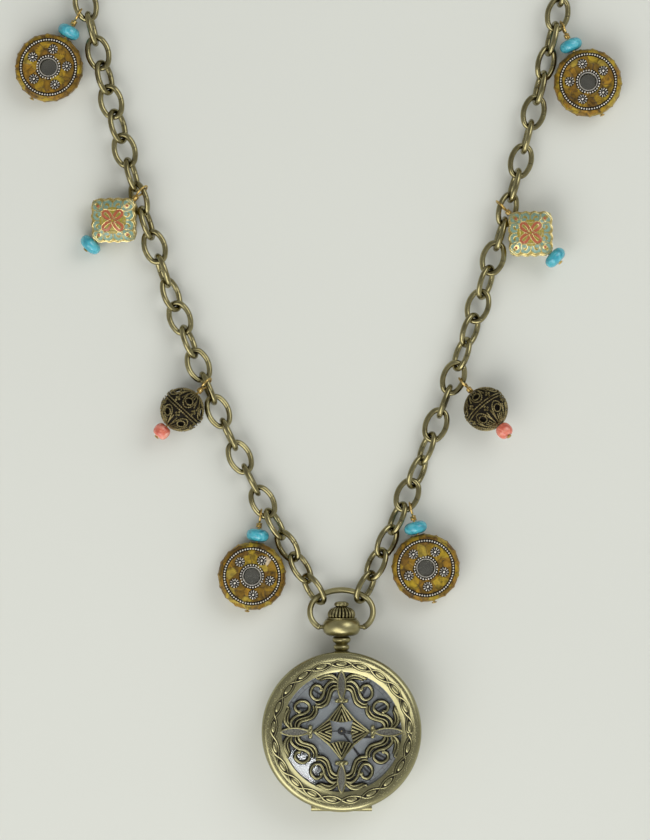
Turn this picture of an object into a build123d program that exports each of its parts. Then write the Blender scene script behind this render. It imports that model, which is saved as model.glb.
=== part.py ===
from build123d import *
import os
from math import asin, atan2, cos, degrees, hypot, radians, sin, sqrt

# Pendant watch lying face up. +Z is up, +X is to the right of the dial and +Y runs towards the crown.
# The origin is the centre of the flat case back, on the surface that the watch and its chain lie on.
# Every length is in millimetres and every angle in degrees.

# Case, from the back upwards
case_diameter = 45.0
case_back_height = 1.8
case_back_wall = 0.8
case_back_flat_inset = 5.5
snap_lip_height = 1.1
snap_lip_wall = 0.7
snap_clearance = 0.03
band_height = 8.1
band_wall = 2.5
band_edge_inset = 0.9
flange_drop = 2.1
flange_width = 1.6
crystal_seat_width = 1.0
crystal_seat_depth = 0.7
crystal_thickness = 1.0
crystal_rise = 0.25
crystal_clearance = 0.05

# Front cover and its hinge
cover_overhang = 0.5
cover_gap = 0.05
cover_skirt_height = 1.7
cover_skirt_wall = 2.4
cover_height = 3.6
cover_ring_width = 5.75
cover_plate_thickness = 1.5
cover_edge_radius = 1.5
cover_shoulder_width = 4.4
cover_shoulder_drop = 0.35
filigree_thickness = 1.1
filigree_drop = 0.3
hinge_radius = 1.1
hinge_pin_radius = 0.45
hinge_pin_clearance = 0.05
hinge_inset = 1.1
hinge_width = 17.5
cover_knuckle_width = 7.0
hinge_side_gap = 0.06
hinge_swing_radius = 1.65
hinge_web_width = 2.2

# Pierced work of the cover, drawn for one size of opening and scaled with it
pierced_work_diameter = 34.5
window_tip_distance = 5.1
window_bow_depth = 0.8
diamond_tip_distance = 8.1
clasp_bead_radius = 0.65
clasp_bead_spacing = 1.36
clasp_distance = 8.95
spindle_start = 9.5
spindle_width = 2.25
scroll_width = 0.8
leaf_width = 0.7
curl_radius = 2.0
curl_centre_across = 7.1
curl_centre_out = 11.1
scroll_root_out = 13.6
diagonal_meeting = 7.3
leaf_root_out = 14.3
leaf_tip_across = 6.4
leaf_overrun = 0.5

# Catch that holds the cover shut
catch_pocket_width = 4.8
catch_pocket_wall = 0.35
catch_pocket_depth = 1.6
catch_pocket_floor = 1.9
catch_width = 4.4
catch_thickness = 0.4
catch_inset = 0.75
catch_pivot_height = 2.6
catch_pivot_radius = 0.45
catch_nose_length = 0.4
catch_nose_height = 0.3
catch_nose_gap = 0.05
catch_stem_hole_radius = 0.8
cover_lip_overlap = 0.25
cover_lip_thickness = 0.3
cover_notch_clearance = 0.15
cover_notch_height = 1.05

# Pendant, crown and bow
stem_height = 5.7
neck_core_radius = 2.0
neck_sink = 0.5
neck_foot_radius = 3.1
neck_foot_length = 1.0
neck_ring_radius = 1.15
neck_ring_diameter = 5.3
first_ring_distance = 1.5
second_ring_distance = 3.7
ball_centre_distance = 7.4
ball_diameter = 11.0
ball_length = 5.2
stem_radius = 0.45
stem_clearance = 0.05
stem_inner_end = 12.9
stem_pull_travel = 0.8
stem_collar_radius = 0.95
stem_collar_length = 0.3
stem_collar_clearance = 0.1
crown_rise = 1.5
crown_length = 4.3
crown_diameter = 8.0
crown_neck_diameter = 3.4
crown_knob_diameter = 4.1
crown_knob_length = 1.6
crown_flutes = 22
crown_flute_radius = 0.3
crown_outline_shares = [(0.7, 0.0), (0.93, 0.2), (1.0, 0.42), (0.9, 0.65), (0.66, 0.85)]
knob_outline_shares = [(1.0, 0.15), (1.0, 0.55), (0.6, 0.92)]
crown_socket_clearance = 0.25
crown_press_travel = 0.3
bow_wire_radius = 0.85
bow_width = 19.9
bow_reach = 11.75
bow_side_radius = 5.3
bow_top_radius = 12.4
bow_tilt = 15.0
bow_pin_radius = 0.6
bow_pin_clearance = 0.05
bow_pin_depth = 1.3
bow_ball_gap = 0.15

# Dial and hands
dial_thickness = 0.4
dial_clearance = 0.2
hand_thickness = 0.15
hand_gap = 0.25
hour_hand_length = 9.5
hour_hand_width = 1.7
minute_hand_margin = 3.9
minute_hand_width = 1.2
second_hand_margin = 2.9
second_hand_tail = 4.5
second_hand_width = 0.3
hand_hub_radius = 0.9
second_hub_radius = 0.6
hour_hand_angle = -12.0
minute_hand_angle = -54.0
second_hand_angle = 180.0

# Movement: holder ring, plates and posts
holder_gap = 0.4
holder_bore_diameter = 24.6
holder_bottom = 3.2
holder_top = 6.3
holder_stem_clearance = 0.12
plate_diameter = 24.4
plate_bottom = 5.2
plate_thickness = 1.0
bridge_bottom = 2.6
bridge_thickness = 0.5
bridge_lobe_radius = 1.5
post_radius = 0.8
post_distance = 9.3
post_angles = [150.0, 10.0, 240.0]
screw_radius = 0.35
screw_head_radius = 0.7
screw_head_height = 0.3
screw_depth = 1.2

# Gear train: tooth counts, modules and levels
rotor_teeth = 8
intermediate_teeth = 40
intermediate_pinion_teeth = 10
seconds_teeth = 60
seconds_pinion_teeth = 8
third_teeth = 60
third_pinion_teeth = 8
centre_teeth = 64
cannon_teeth = 10
minute_teeth = 30
minute_pinion_teeth = 10
hour_teeth = 40
train_module = 0.12
motion_module = 0.15
tooth_slack_share = 0.18
addendum_share = 0.8
dedendum_share = 1.15
wheel_thickness = 0.25
pinion_thickness = 0.4
arbor_radius = 0.2
pivot_radius = 0.12
pivot_clearance = 0.03
pivot_depth = 0.3
low_level = 3.5
mid_level = 4.1
high_level = 4.7
cannon_level = 6.35
hour_level = 6.85
tube_clearance = 0.05
tube_wall = 0.25
intermediate_angle = 50.0
rotor_angle = 80.0
third_angle = -70.0
minute_wheel_angle = 180.0
rotor_magnet_radius = 1.1
rotor_magnet_height = 0.45
stator_clearance = 0.2
stator_thickness = 0.4
stator_arm_width = 1.6
coil_radius = 1.1
coil_length = 8.0
coil_offset_out = 9.4
coil_offset_across = 1.0
coil_centre_height = 3.9
coil_flange_radius = 1.3
coil_flange_width = 0.4
core_half_width = 0.5
battery_diameter = 6.8
battery_height = 2.4
battery_across = -7.7
battery_out = -1.6
battery_bottom = 2.7
battery_step = 0.3
board_outer_radius = 11.9
board_inner_radius = 8.0
board_start_angle = 262.0
board_sweep = 85.0
board_thickness = 0.4
board_bottom = 4.0
chip_size = 2.2
chip_height = 0.6
can_radius = 0.75
can_length = 4.0

# Chain: one oval link, and the way the links lie
link_length = 10.67
link_width = 7.5
link_wire_diameter = 1.6
link_end_radius = 2.4
link_pitch = 7.29
chain_height = 3.76
bow_link_gap = 0.32
visible_links = 26
left_back_links = 16
right_back_links = 15
lower_link_count = 13
left_hook_across = -6.55
right_hook_across = 5.75
left_start_heading = 32.8
left_end_heading = 14.2
left_heading_curve = 1.61
right_start_heading = 26.2
right_end_heading = 13.2
right_heading_curve = 1.52
left_rolls = [125, 50, -40, 65, 0, 88, 8, 97, 12, 100, 10, 70, -12, 48, 105, -10,
              72, -45, 72, -10, 55, -8, 55, -5, 82, 10]
right_rolls = [55, 135, 40, -64, -4, 55, 115, -8, 85, 5, -60, 50, -12, 60, -5,
               98, 35, 100, 10, 95, 8, 105, 40, 105, 12, 100]
back_edge_roll = 98.0
back_flat_roll = 10.0
jump_ring_diameter = 6.6
jump_ring_wire = 1.1
ring_gap = 0.35

# Clasp at the back of the chain
clasp_thickness = 2.2
clasp_hook_diameter = 7.6
clasp_hook_bar = 1.7
clasp_body_length = 12.5
clasp_eye_diameter = 4.6
clasp_eye_hole = 2.4
clasp_slot_height = 1.0
clasp_slot_gap = 0.15
clasp_gate_start = 1.5
clasp_gate_end = 4.6
clasp_gate_inner = 1.2
lever_pivot_along = 5.1
lever_pivot_across = 1.5
lever_pivot_radius = 0.4
lever_pivot_clearance = 0.05
lever_tip_gap = 0.1
lever_thickness = 0.8
lever_width = 1.0
lever_nub_radius = 0.8

# Wrapped wire pins of the charms
pin_radius = 0.4
pin_bore_clearance = 0.05
loop_radius = 1.95
loop_gap = 0.3
wrap_radius = 0.95
wrap_length = 1.7
pin_head_radius = 0.75
pin_head_thickness = 0.5
bead_gap = 0.05
table_gap = 0.05

# Disc charms
disc_diameter = 20.0
disc_thickness = 8.0
disc_face_diameter = 17.0
disc_face_step = 0.5
disc_cup_diameter = 4.9
disc_cup_depth = 2.2
disc_bezel_diameter = 6.2
rondelle_diameter = 6.9
rondelle_thickness = 3.7

# Square charms
square_side = 12.8
square_thickness = 9.0
square_corner_radius = 2.6
square_edge_height = 3.2
right_square_lift = 1.6

# Ball charms
ball_charm_diameter = 13.0
ball_charm_wall = 0.8
ball_window_diameter = 2.6
ball_window_latitude = 32.0
ball_windows_around = 6
coral_diameter = 4.9
coral_thickness = 4.0


# Sizes that follow from the case diameter
case_back_flat_diameter = case_diameter - 2 * case_back_flat_inset
case_back_rim_diameter = case_diameter - 2 * band_edge_inset
band_bore_diameter = case_diameter - 2 * band_wall
flange_diameter = band_bore_diameter - 2 * flange_width
crystal_seat_diameter = flange_diameter + 2 * crystal_seat_width
cover_diameter = case_diameter + 2 * cover_overhang
cover_skirt_bore_diameter = cover_diameter - 2 * cover_skirt_wall
cover_opening_diameter = cover_diameter - 2 * cover_ring_width
pierced_work_scale = cover_opening_diameter / pierced_work_diameter
catch_pocket_inner = crystal_seat_diameter / 2 + catch_pocket_wall
catch_pocket_outer = catch_pocket_inner + catch_pocket_depth
catch_centre_out = catch_pocket_inner + catch_inset
cover_lip_reach = catch_centre_out + catch_thickness / 2 + catch_nose_length - cover_lip_overlap
cover_notch_outer = catch_pocket_outer + cover_notch_clearance
neck_root = case_diameter / 2 - neck_sink
first_ring_out = case_diameter / 2 + first_ring_distance
second_ring_out = case_diameter / 2 + second_ring_distance
ball_centre_out = case_diameter / 2 + ball_centre_distance
crown_start = ball_centre_out + crown_rise
stem_collar_near = catch_centre_out + catch_thickness / 2 + crown_press_travel + catch_nose_gap / 2
stem_collar_far = stem_collar_near + stem_collar_length
minute_hand_length = flange_diameter / 2 - minute_hand_margin
second_hand_length = flange_diameter / 2 - second_hand_margin
holder_diameter = band_bore_diameter - 2 * holder_gap

# Heights that follow from the case sizes
band_bottom = case_back_height
band_top = case_back_height + band_height
flange_bottom = band_top - flange_drop
crystal_bottom = band_top - crystal_seat_depth
cover_bottom = band_top + cover_gap
cover_top = band_top + cover_height
cover_notch_top = cover_bottom + cover_notch_height
plate_top = plate_bottom + plate_thickness
bridge_top = bridge_bottom + bridge_thickness
dial_bottom = flange_bottom - dial_thickness
hinge_out = hinge_inset - cover_diameter / 2


def polar(distance, angle):
    return (distance * cos(radians(angle)), distance * sin(radians(angle)))


def cylinder_up(radius, bottom, top, at=(0, 0)):
    return Pos(at[0], at[1], (bottom + top) / 2) * Cylinder(radius, top - bottom)


def cylinder_out(radius, start, end, height=stem_height):
    return Pos(0, (start + end) / 2, height) * Rot(90, 0, 0) * Cylinder(radius, end - start)


def cylinder_across(radius, start, end, out, height):
    return Pos((start + end) / 2, out, height) * Rot(0, 90, 0) * Cylinder(radius, end - start)


def box_between(low, high):
    size = [b - a for a, b in zip(low, high)]
    middle = [(a + b) / 2 for a, b in zip(low, high)]
    return Pos(*middle) * Box(*size)


def ring_up(outer, inner, bottom, top):
    return cylinder_up(outer, bottom, top) - cylinder_up(inner, bottom, top)


def turned(points):
    """Solid of revolution about Z of an outline given as (radius, height)."""
    outline = [Vector(radius, 0, height) for radius, height in points]
    return revolve(make_face(Polyline(*outline, close=True)), Axis.Z)


def turned_out(points):
    """Solid of revolution about the stem of an outline given as (radius, distance out)."""
    outline = [Vector(radius, out, stem_height) for radius, out in points]
    axis = Axis((0, 0, stem_height), (0, 1, 0))
    return revolve(make_face(Polyline(*outline, close=True)), axis)


def lens(half_length, half_height, radius, steps):
    """Points of a rounded rim profile, from the top centre round to the bottom centre."""
    points = []
    for step in range(steps + 1):
        angle = radians(90 - 180 * step / steps)
        points.append((half_length + radius * cos(angle), half_height * sin(angle)))
    return points


# Case

def make_case_back():
    flat = case_back_flat_diameter / 2
    rim = case_back_rim_diameter / 2
    lip = band_bore_diameter / 2 - snap_clearance
    inner = lip - snap_lip_wall
    floor = case_back_wall
    top = case_back_height
    return turned([(0, 0), (flat, 0), ((flat + 2 * rim) / 3, top / 4), (rim, top),
                   (lip, top), (lip, top + snap_lip_height), (inner, top + snap_lip_height),
                   (inner, top), (flat, floor), (0, floor)])


def hinge_barrel(start, end, bore):
    barrel = cylinder_across(hinge_radius, start, end, hinge_out, band_top)
    return barrel - cylinder_across(bore, start, end, hinge_out, band_top)


def make_case_middle():
    outer = case_diameter / 2
    edge = outer - band_edge_inset
    bore = band_bore_diameter / 2
    third = band_height / 4
    body = turned([(bore, band_bottom), (edge, band_bottom), (outer, band_bottom + third),
                   (outer, band_top - third / 2), (outer - band_edge_inset / 3, band_top),
                   (crystal_seat_diameter / 2, band_top), (crystal_seat_diameter / 2, crystal_bottom),
                   (flange_diameter / 2, crystal_bottom), (flange_diameter / 2, flange_bottom),
                   (bore, flange_bottom)])
    half = hinge_width / 2
    body -= cylinder_across(hinge_swing_radius, -half - hinge_side_gap, half + hinge_side_gap,
                            hinge_out, band_top)
    inner = cover_knuckle_width / 2 + hinge_side_gap
    for start, end in [(-half, -inner), (inner, half)]:
        web = box_between((start, hinge_out, band_top - hinge_radius),
                          (end, hinge_out + hinge_web_width, band_top))
        web -= cylinder_across(hinge_pin_radius, start, end, hinge_out, band_top)
        body += web + hinge_barrel(start, end, hinge_pin_radius)
    pocket = catch_pocket_width / 2
    body -= box_between((-pocket, catch_pocket_inner, catch_pocket_floor),
                        (pocket, catch_pocket_outer, cover_top))
    body -= cylinder_out(stem_collar_radius + stem_collar_clearance, 0,
                         stem_collar_far + stem_pull_travel + stem_clearance)
    body -= cylinder_out(stem_radius + stem_clearance, 0, case_diameter)
    return body


def make_crystal():
    radius = crystal_seat_diameter / 2 - crystal_clearance
    top = crystal_bottom + crystal_thickness
    crown = top + crystal_rise
    return turned([(0, crystal_bottom), (radius, crystal_bottom), (radius, top),
                   (radius * 2 / 3, top + crystal_rise * 5 / 9), (radius / 3, crown - crystal_rise / 9),
                   (0, crown)])


# Front cover with its pierced work

def pierced_motif():
    """One eighth of the scrollwork, between the upper spindle and the diagonal."""
    root = (spindle_width / 4, scroll_root_out)
    curl = (curl_centre_across, curl_centre_out)
    left = (curl[0] - curl_radius, curl[1])
    low = (curl[0], curl[1] - curl_radius)
    right = (curl[0] + curl_radius, curl[1])
    high = (curl[0], curl[1] + curl_radius)
    shoulder = ((root[0] + left[0]) / 2, root[1] + scroll_width / 2)
    inner = trace(ThreePointArc(root, shoulder, left), scroll_width)
    inner += trace(ThreePointArc(left, low, right), scroll_width)
    tail = (left[0] + scroll_width, high[1] - scroll_width)
    inner += trace(ThreePointArc(right, high, tail), scroll_width)
    meeting = (diagonal_meeting, diagonal_meeting)
    drop = (left[0] - scroll_width, (root[1] + low[1]) / 2)
    start = (spindle_width / 4, root[1] - 2 * scroll_width)
    outer = trace(ThreePointArc(start, (drop[0] - scroll_width / 2, start[1] - scroll_width / 2), drop),
                  scroll_width)
    outer += trace(ThreePointArc(drop, (drop[0] + scroll_width, meeting[1] + scroll_width), meeting),
                   scroll_width)
    rim = pierced_work_diameter / 2 + leaf_overrun
    leaf_root = (spindle_width / 4, leaf_root_out)
    leaf_tip = (leaf_tip_across, sqrt(rim ** 2 - leaf_tip_across ** 2))
    middle = ((leaf_root[0] + leaf_tip[0]) / 2, leaf_tip[1] - leaf_width / 2)
    leaf = trace(ThreePointArc(leaf_root, middle, leaf_tip), leaf_width)
    return inner + outer + leaf


def pierced_work():
    tips = [polar(diamond_tip_distance, 90 * turn) for turn in range(4)]
    sheet = make_face(Polyline(*tips, close=True))
    corners = [polar(window_tip_distance, 45 + 90 * turn) for turn in range(4)]
    edges = []
    for turn in range(4):
        start = corners[turn]
        end = corners[(turn + 1) % 4]
        middle = ((start[0] + end[0]) / 2, (start[1] + end[1]) / 2)
        pull = 1 - window_bow_depth / hypot(*middle)
        edges.append(ThreePointArc(start, (middle[0] * pull, middle[1] * pull), end))
    sheet -= make_face(Wire(edges))
    rim = pierced_work_diameter / 2 + leaf_overrun
    middle = (spindle_start + rim) / 2
    half = spindle_width / 2
    right = ThreePointArc((0, spindle_start), (half, middle), (0, rim))
    left = ThreePointArc((0, rim), (-half, middle), (0, spindle_start))
    spindle = make_face(Wire([right, left]))
    neck = Pos(0, (diamond_tip_distance + spindle_start) / 2) * Rectangle(
        2 * clasp_bead_spacing, spindle_start - diamond_tip_distance + scroll_width)
    motif = pierced_motif()
    arm = spindle + neck + motif + mirror(motif, Plane.YZ)
    for turn in range(4):
        sheet += Rot(0, 0, 90 * turn) * arm
    return sheet


def make_front_cover():
    outer = cover_diameter / 2
    skirt = cover_skirt_bore_diameter / 2
    skirt_top = cover_bottom + cover_skirt_height
    opening = cover_opening_diameter / 2
    shoulder = outer - cover_edge_radius
    step = cover_top - cover_shoulder_drop
    ring = turned([(skirt, cover_bottom), (outer - cover_edge_radius / 3, cover_bottom),
                   (outer, cover_bottom + cover_edge_radius / 2), (outer, cover_top - cover_edge_radius),
                   (outer - cover_edge_radius / 3, cover_top - cover_edge_radius / 3), (shoulder, cover_top),
                   (outer - cover_shoulder_width, step), (opening, step - cover_shoulder_drop),
                   (opening, cover_top - cover_plate_thickness - cover_shoulder_drop),
                   (skirt, skirt_top)])
    work_top = cover_top - cover_shoulder_drop - filigree_drop
    sheet = scale(pierced_work(), by=pierced_work_scale)
    work = extrude(Pos(0, 0, work_top - filigree_thickness) * sheet, filigree_thickness)
    work = work & cylinder_up(opening + leaf_overrun / 2, cover_bottom, cover_top)
    ring += work
    for turn in range(4):
        for side in (-1, 0, 1):
            across = side * clasp_bead_spacing * pierced_work_scale
            bead = Pos(across, clasp_distance * pierced_work_scale, work_top) * Sphere(clasp_bead_radius)
            ring += Rot(0, 0, 90 * turn) * bead
    half = hinge_width / 2
    inner = cover_knuckle_width / 2
    reach = hinge_radius + hinge_side_gap
    for start, end in [(-half - hinge_side_gap, -inner), (inner, half + hinge_side_gap)]:
        ring -= cylinder_across(reach, start, end, hinge_out, band_top)
    web = box_between((-inner, hinge_out - hinge_radius / 2, band_top),
                      (inner, hinge_out + hinge_radius, cover_bottom + hinge_radius))
    ring += web + cylinder_across(hinge_radius, -inner, inner, hinge_out, band_top)
    ring -= cylinder_across(hinge_pin_radius + hinge_pin_clearance, -inner, inner, hinge_out, band_top)
    pocket = catch_pocket_width / 2
    kept = cylinder_up(skirt - cover_skirt_height, cover_bottom, cover_notch_top)
    lip_top = cover_bottom + cover_lip_thickness
    for low, reach in [(cover_bottom, cover_lip_reach), (lip_top, cover_notch_outer)]:
        ring -= box_between((-pocket, 0, low), (pocket, reach, cover_notch_top)) - kept
    return ring


def make_cover_hinge_pin():
    half = hinge_width / 2
    return cylinder_across(hinge_pin_radius, -half, half, hinge_out, band_top)


def make_cover_catch():
    half = catch_width / 2
    near = catch_centre_out - catch_thickness / 2
    far = catch_centre_out + catch_thickness / 2
    nose_bottom = cover_bottom + cover_lip_thickness + catch_nose_gap
    leaf = box_between((-half, near, catch_pivot_height), (half, far, nose_bottom + catch_nose_height))
    leaf -= cylinder_out(catch_stem_hole_radius, near, far)
    foot = cylinder_across(catch_pivot_radius, -half, half, catch_centre_out, catch_pivot_height)
    nose = box_between((-half, far, nose_bottom),
                       (half, far + catch_nose_length, nose_bottom + catch_nose_height))
    return leaf + foot + nose


# Pendant, stem, crown and bow

def make_pendant_neck():
    foot = turned_out([(0, neck_root), (neck_foot_radius, neck_root),
                       (neck_core_radius, neck_root + neck_foot_length),
                       (neck_core_radius, ball_centre_out), (0, ball_centre_out)])
    foot -= cylinder_up(case_diameter / 2, 0, band_top)
    for out in (first_ring_out, second_ring_out):
        torus = Torus(neck_ring_diameter / 2 - neck_ring_radius, neck_ring_radius)
        foot += Pos(0, out, stem_height) * Rot(90, 0, 0) * torus
    half = ball_length / 2
    profile = lens(ball_diameter / 2 - half, half, half, 10)
    outline = [(0, ball_centre_out + half)] + [(x, ball_centre_out + y) for x, y in profile]
    ball = turned_out(outline + [(0, ball_centre_out - half)])
    socket_radius = crown_diameter / 2 + crown_socket_clearance
    socket_floor = crown_start - crown_press_travel - crown_socket_clearance
    ball -= cylinder_out(socket_radius, socket_floor, crown_start + crown_length)
    neck = foot + ball
    neck -= cylinder_out(stem_radius + stem_clearance, neck_root - neck_foot_length, crown_start)
    pin_hole = bow_pin_radius + bow_pin_clearance
    side = ball_diameter / 2
    for start, end in [(-side, -side + bow_pin_depth), (side - bow_pin_depth, side)]:
        neck -= cylinder_across(pin_hole, start, end, ball_centre_out, stem_height)
    return neck


def make_winding_stem():
    rod = cylinder_out(stem_radius, stem_inner_end, crown_start + crown_length / 2)
    collar = cylinder_out(stem_collar_radius, stem_collar_near, stem_collar_far)
    return rod + collar


def make_crown():
    wide = crown_diameter / 2
    narrow = crown_neck_diameter / 2
    knob = crown_knob_diameter / 2
    top = crown_start + crown_length
    outline = [(0, crown_start)]
    outline += [(wide * radius, crown_start + crown_length * out) for radius, out in crown_outline_shares]
    outline.append((narrow, top))
    outline += [(knob * radius, top + crown_knob_length * out) for radius, out in knob_outline_shares]
    outline.append((0, top + crown_knob_length))
    crown = turned_out(outline)
    middle = crown_start + crown_length / 2
    for flute in range(crown_flutes):
        angle = 360 * flute / crown_flutes
        groove = Pos(wide * cos(radians(angle)), middle, wide * sin(radians(angle)) + stem_height)
        crown -= groove * Rot(90, 0, 0) * Cylinder(crown_flute_radius, crown_length)
    crown -= cylinder_out(stem_radius, crown_start, middle)
    return crown


def bow_frame():
    """Plane of the bow: local x across, local y from the pivot towards the chain."""
    tilt = radians(bow_tilt)
    return Plane(origin=(0, ball_centre_out, stem_height), x_dir=(1, 0, 0),
                 z_dir=(0, sin(tilt), cos(tilt)))


def bow_geometry():
    """Centre line of the oval: side arc centre, top arc centre and the reach of the top."""
    across = bow_width / 2 - bow_wire_radius
    top = bow_reach - bow_wire_radius
    side_centre_x = across - bow_side_radius
    top_centre_y = top - bow_top_radius
    rise = sqrt((bow_top_radius - bow_side_radius) ** 2 - side_centre_x ** 2)
    return side_centre_x, top_centre_y + rise, top_centre_y, top


def make_bow():
    side_x, side_y, top_y, top = bow_geometry()
    scale = bow_top_radius / (bow_top_radius - bow_side_radius)
    join = (side_x * scale, top_y + (side_y - top_y) * scale)
    foot_x = side_x + sqrt(bow_side_radius ** 2 - side_y ** 2)
    line = ThreePointArc((foot_x, 0), (side_x + bow_side_radius, side_y), join)
    arch = ThreePointArc(join, (0, top), (-join[0], join[1]))
    other = ThreePointArc((-join[0], join[1]), (-side_x - bow_side_radius, side_y), (-foot_x, 0))
    path = bow_frame() * Wire([*line.edges(), *arch.edges(), *other.edges()])
    start = path.location_at(0)
    bow = sweep(Plane(start) * Circle(bow_wire_radius), path=path)
    inner = ball_diameter / 2 - bow_pin_depth + bow_ball_gap
    for start, end in [(-foot_x, -inner), (inner, foot_x)]:
        bow += cylinder_across(bow_pin_radius, start, end, ball_centre_out, stem_height)
    for side in (-1, 1):
        bow += Pos(side * foot_x, ball_centre_out, stem_height) * Sphere(bow_wire_radius)
    return bow


# Dial and hands

cannon_tube_radius = arbor_radius + tube_clearance + tube_wall
hour_tube_radius = cannon_tube_radius + tube_clearance + tube_wall
hour_hand_bottom = flange_bottom + hand_gap
minute_hand_bottom = hour_hand_bottom + hand_thickness + hand_gap
second_hand_bottom = minute_hand_bottom + hand_thickness + hand_gap


def make_dial():
    radius = band_bore_diameter / 2 - dial_clearance
    return ring_up(radius, hour_tube_radius + dial_clearance, dial_bottom, flange_bottom)


def spade_hand(length, width, hub, bore, bottom, angle):
    half = width / 2
    middle = length / 2
    wide = length * 2 / 3
    blade = make_face(Polyline((0, half / 2), (middle, half / 2), (wide, half), (length, 0),
                               (wide, -half), (middle, -half / 2), (0, -half / 2), close=True))
    shape = blade + Circle(hub) - Circle(bore)
    return Pos(0, 0, bottom) * Rot(0, 0, angle) * extrude(shape, hand_thickness)


def make_hour_hand():
    return spade_hand(hour_hand_length, hour_hand_width, hand_hub_radius + tube_wall, hour_tube_radius,
                      hour_hand_bottom, hour_hand_angle)


def make_minute_hand():
    return spade_hand(minute_hand_length, minute_hand_width, hand_hub_radius, cannon_tube_radius,
                      minute_hand_bottom, minute_hand_angle)


def make_second_hand():
    half = second_hand_width / 2
    needle = make_face(Polyline((-second_hand_tail, half), (second_hand_length, half / 2),
                                (second_hand_length, -half / 2), (-second_hand_tail, -half), close=True))
    shape = needle + Circle(second_hub_radius) - Circle(arbor_radius)
    return Pos(0, 0, second_hand_bottom) * Rot(0, 0, second_hand_angle) * extrude(shape, hand_thickness)


# Movement

def make_movement_holder():
    ring = ring_up(holder_diameter / 2, holder_bore_diameter / 2, holder_bottom, holder_top)
    ring -= cylinder_out(stem_radius + holder_stem_clearance, 0, holder_diameter)
    return ring


def wheel_distance(module, one, other):
    return module * (one + other) / 2


third_distance = wheel_distance(train_module, seconds_pinion_teeth, third_teeth)
intermediate_distance = wheel_distance(train_module, intermediate_pinion_teeth, seconds_teeth)
rotor_distance = wheel_distance(train_module, rotor_teeth, intermediate_teeth)
minute_distance = wheel_distance(motion_module, cannon_teeth, minute_teeth)
centre_module = 2 * third_distance / (third_pinion_teeth + centre_teeth)
hour_module = 2 * minute_distance / (minute_pinion_teeth + hour_teeth)
third_at = polar(third_distance, third_angle)
intermediate_at = polar(intermediate_distance, intermediate_angle)
rotor_step = polar(rotor_distance, rotor_angle)
rotor_at = (intermediate_at[0] + rotor_step[0], intermediate_at[1] + rotor_step[1])
minute_at = polar(minute_distance, minute_wheel_angle)


def gear(teeth, module, thickness, bottom, at, facing, tooth_first):
    """Toothed disc. facing is the direction of a meshing partner, which meets a tooth or a gap."""
    outer = module * (teeth / 2 + addendum_share)
    root = module * (teeth / 2 - dedendum_share)
    pitch = 360 / teeth
    slack = tooth_slack_share * pitch / 2
    offset = facing if tooth_first else facing + pitch / 2
    points = []
    for tooth in range(teeth):
        middle = offset + tooth * pitch
        points.append(polar(root, middle - pitch / 3 + slack / 2))
        points.append(polar(outer, middle - pitch / 8 + slack / 4))
        points.append(polar(outer, middle + pitch / 8 - slack / 4))
        points.append(polar(root, middle + pitch / 3 - slack / 2))
    face = make_face(Polyline(*points, close=True))
    return Pos(at[0], at[1], bottom) * extrude(face, thickness)


def arbor(at, bottom, top, low_pivot=True, high_pivot=True):
    rod = cylinder_up(arbor_radius, bottom, top, at)
    if low_pivot:
        rod += cylinder_up(pivot_radius, bottom - pivot_depth, bottom, at)
    if high_pivot:
        rod += cylinder_up(pivot_radius, top, top + pivot_depth, at)
    return rod


train_bottom = bridge_top + pivot_clearance
train_top = plate_bottom - pivot_clearance


def make_rotor():
    pinion = gear(rotor_teeth, train_module, pinion_thickness, mid_level, rotor_at, rotor_angle + 180, True)
    magnet = cylinder_up(rotor_magnet_radius, high_level, high_level + rotor_magnet_height, rotor_at)
    return pinion + magnet + arbor(rotor_at, train_bottom, train_top)


def make_intermediate_wheel():
    wheel = gear(intermediate_teeth, train_module, wheel_thickness, mid_level, intermediate_at,
                 rotor_angle, False)
    pinion = gear(intermediate_pinion_teeth, train_module, pinion_thickness, low_level, intermediate_at,
                  intermediate_angle + 180, True)
    return wheel + pinion + arbor(intermediate_at, train_bottom, train_top)


def make_seconds_wheel():
    wheel = gear(seconds_teeth, train_module, wheel_thickness, low_level, (0, 0), intermediate_angle, False)
    pinion = gear(seconds_pinion_teeth, train_module, pinion_thickness, mid_level, (0, 0), third_angle,
                  True)
    return wheel + pinion + arbor((0, 0), train_bottom, second_hand_bottom + hand_thickness, True, False)


def make_third_wheel():
    wheel = gear(third_teeth, train_module, wheel_thickness, mid_level, third_at, third_angle + 180, False)
    pinion = gear(third_pinion_teeth, centre_module, pinion_thickness, high_level - tube_clearance, third_at,
                  third_angle + 180, True)
    return wheel + pinion + arbor(third_at, train_bottom, train_top)


def make_centre_wheel():
    wheel = gear(centre_teeth, centre_module, wheel_thickness, high_level, (0, 0), third_angle, False)
    pinion = gear(cannon_teeth, motion_module, wheel_thickness, cannon_level, (0, 0),
                  minute_wheel_angle, True)
    tube = cylinder_up(cannon_tube_radius, high_level, minute_hand_bottom + hand_thickness)
    body = wheel + pinion + tube
    return body - cylinder_up(arbor_radius + tube_clearance, high_level, second_hand_bottom)


def make_minute_wheel():
    wheel = gear(minute_teeth, motion_module, wheel_thickness, cannon_level, minute_at,
                 minute_wheel_angle + 180, False)
    pinion = gear(minute_pinion_teeth, hour_module, pinion_thickness, hour_level - tube_clearance, minute_at,
                  minute_wheel_angle + 180, True)
    rod = cylinder_up(arbor_radius, plate_top + pivot_clearance, hour_level + wheel_thickness, minute_at)
    foot = cylinder_up(pivot_radius, plate_top - pivot_depth, plate_top + pivot_clearance, minute_at)
    return wheel + pinion + rod + foot


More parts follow.
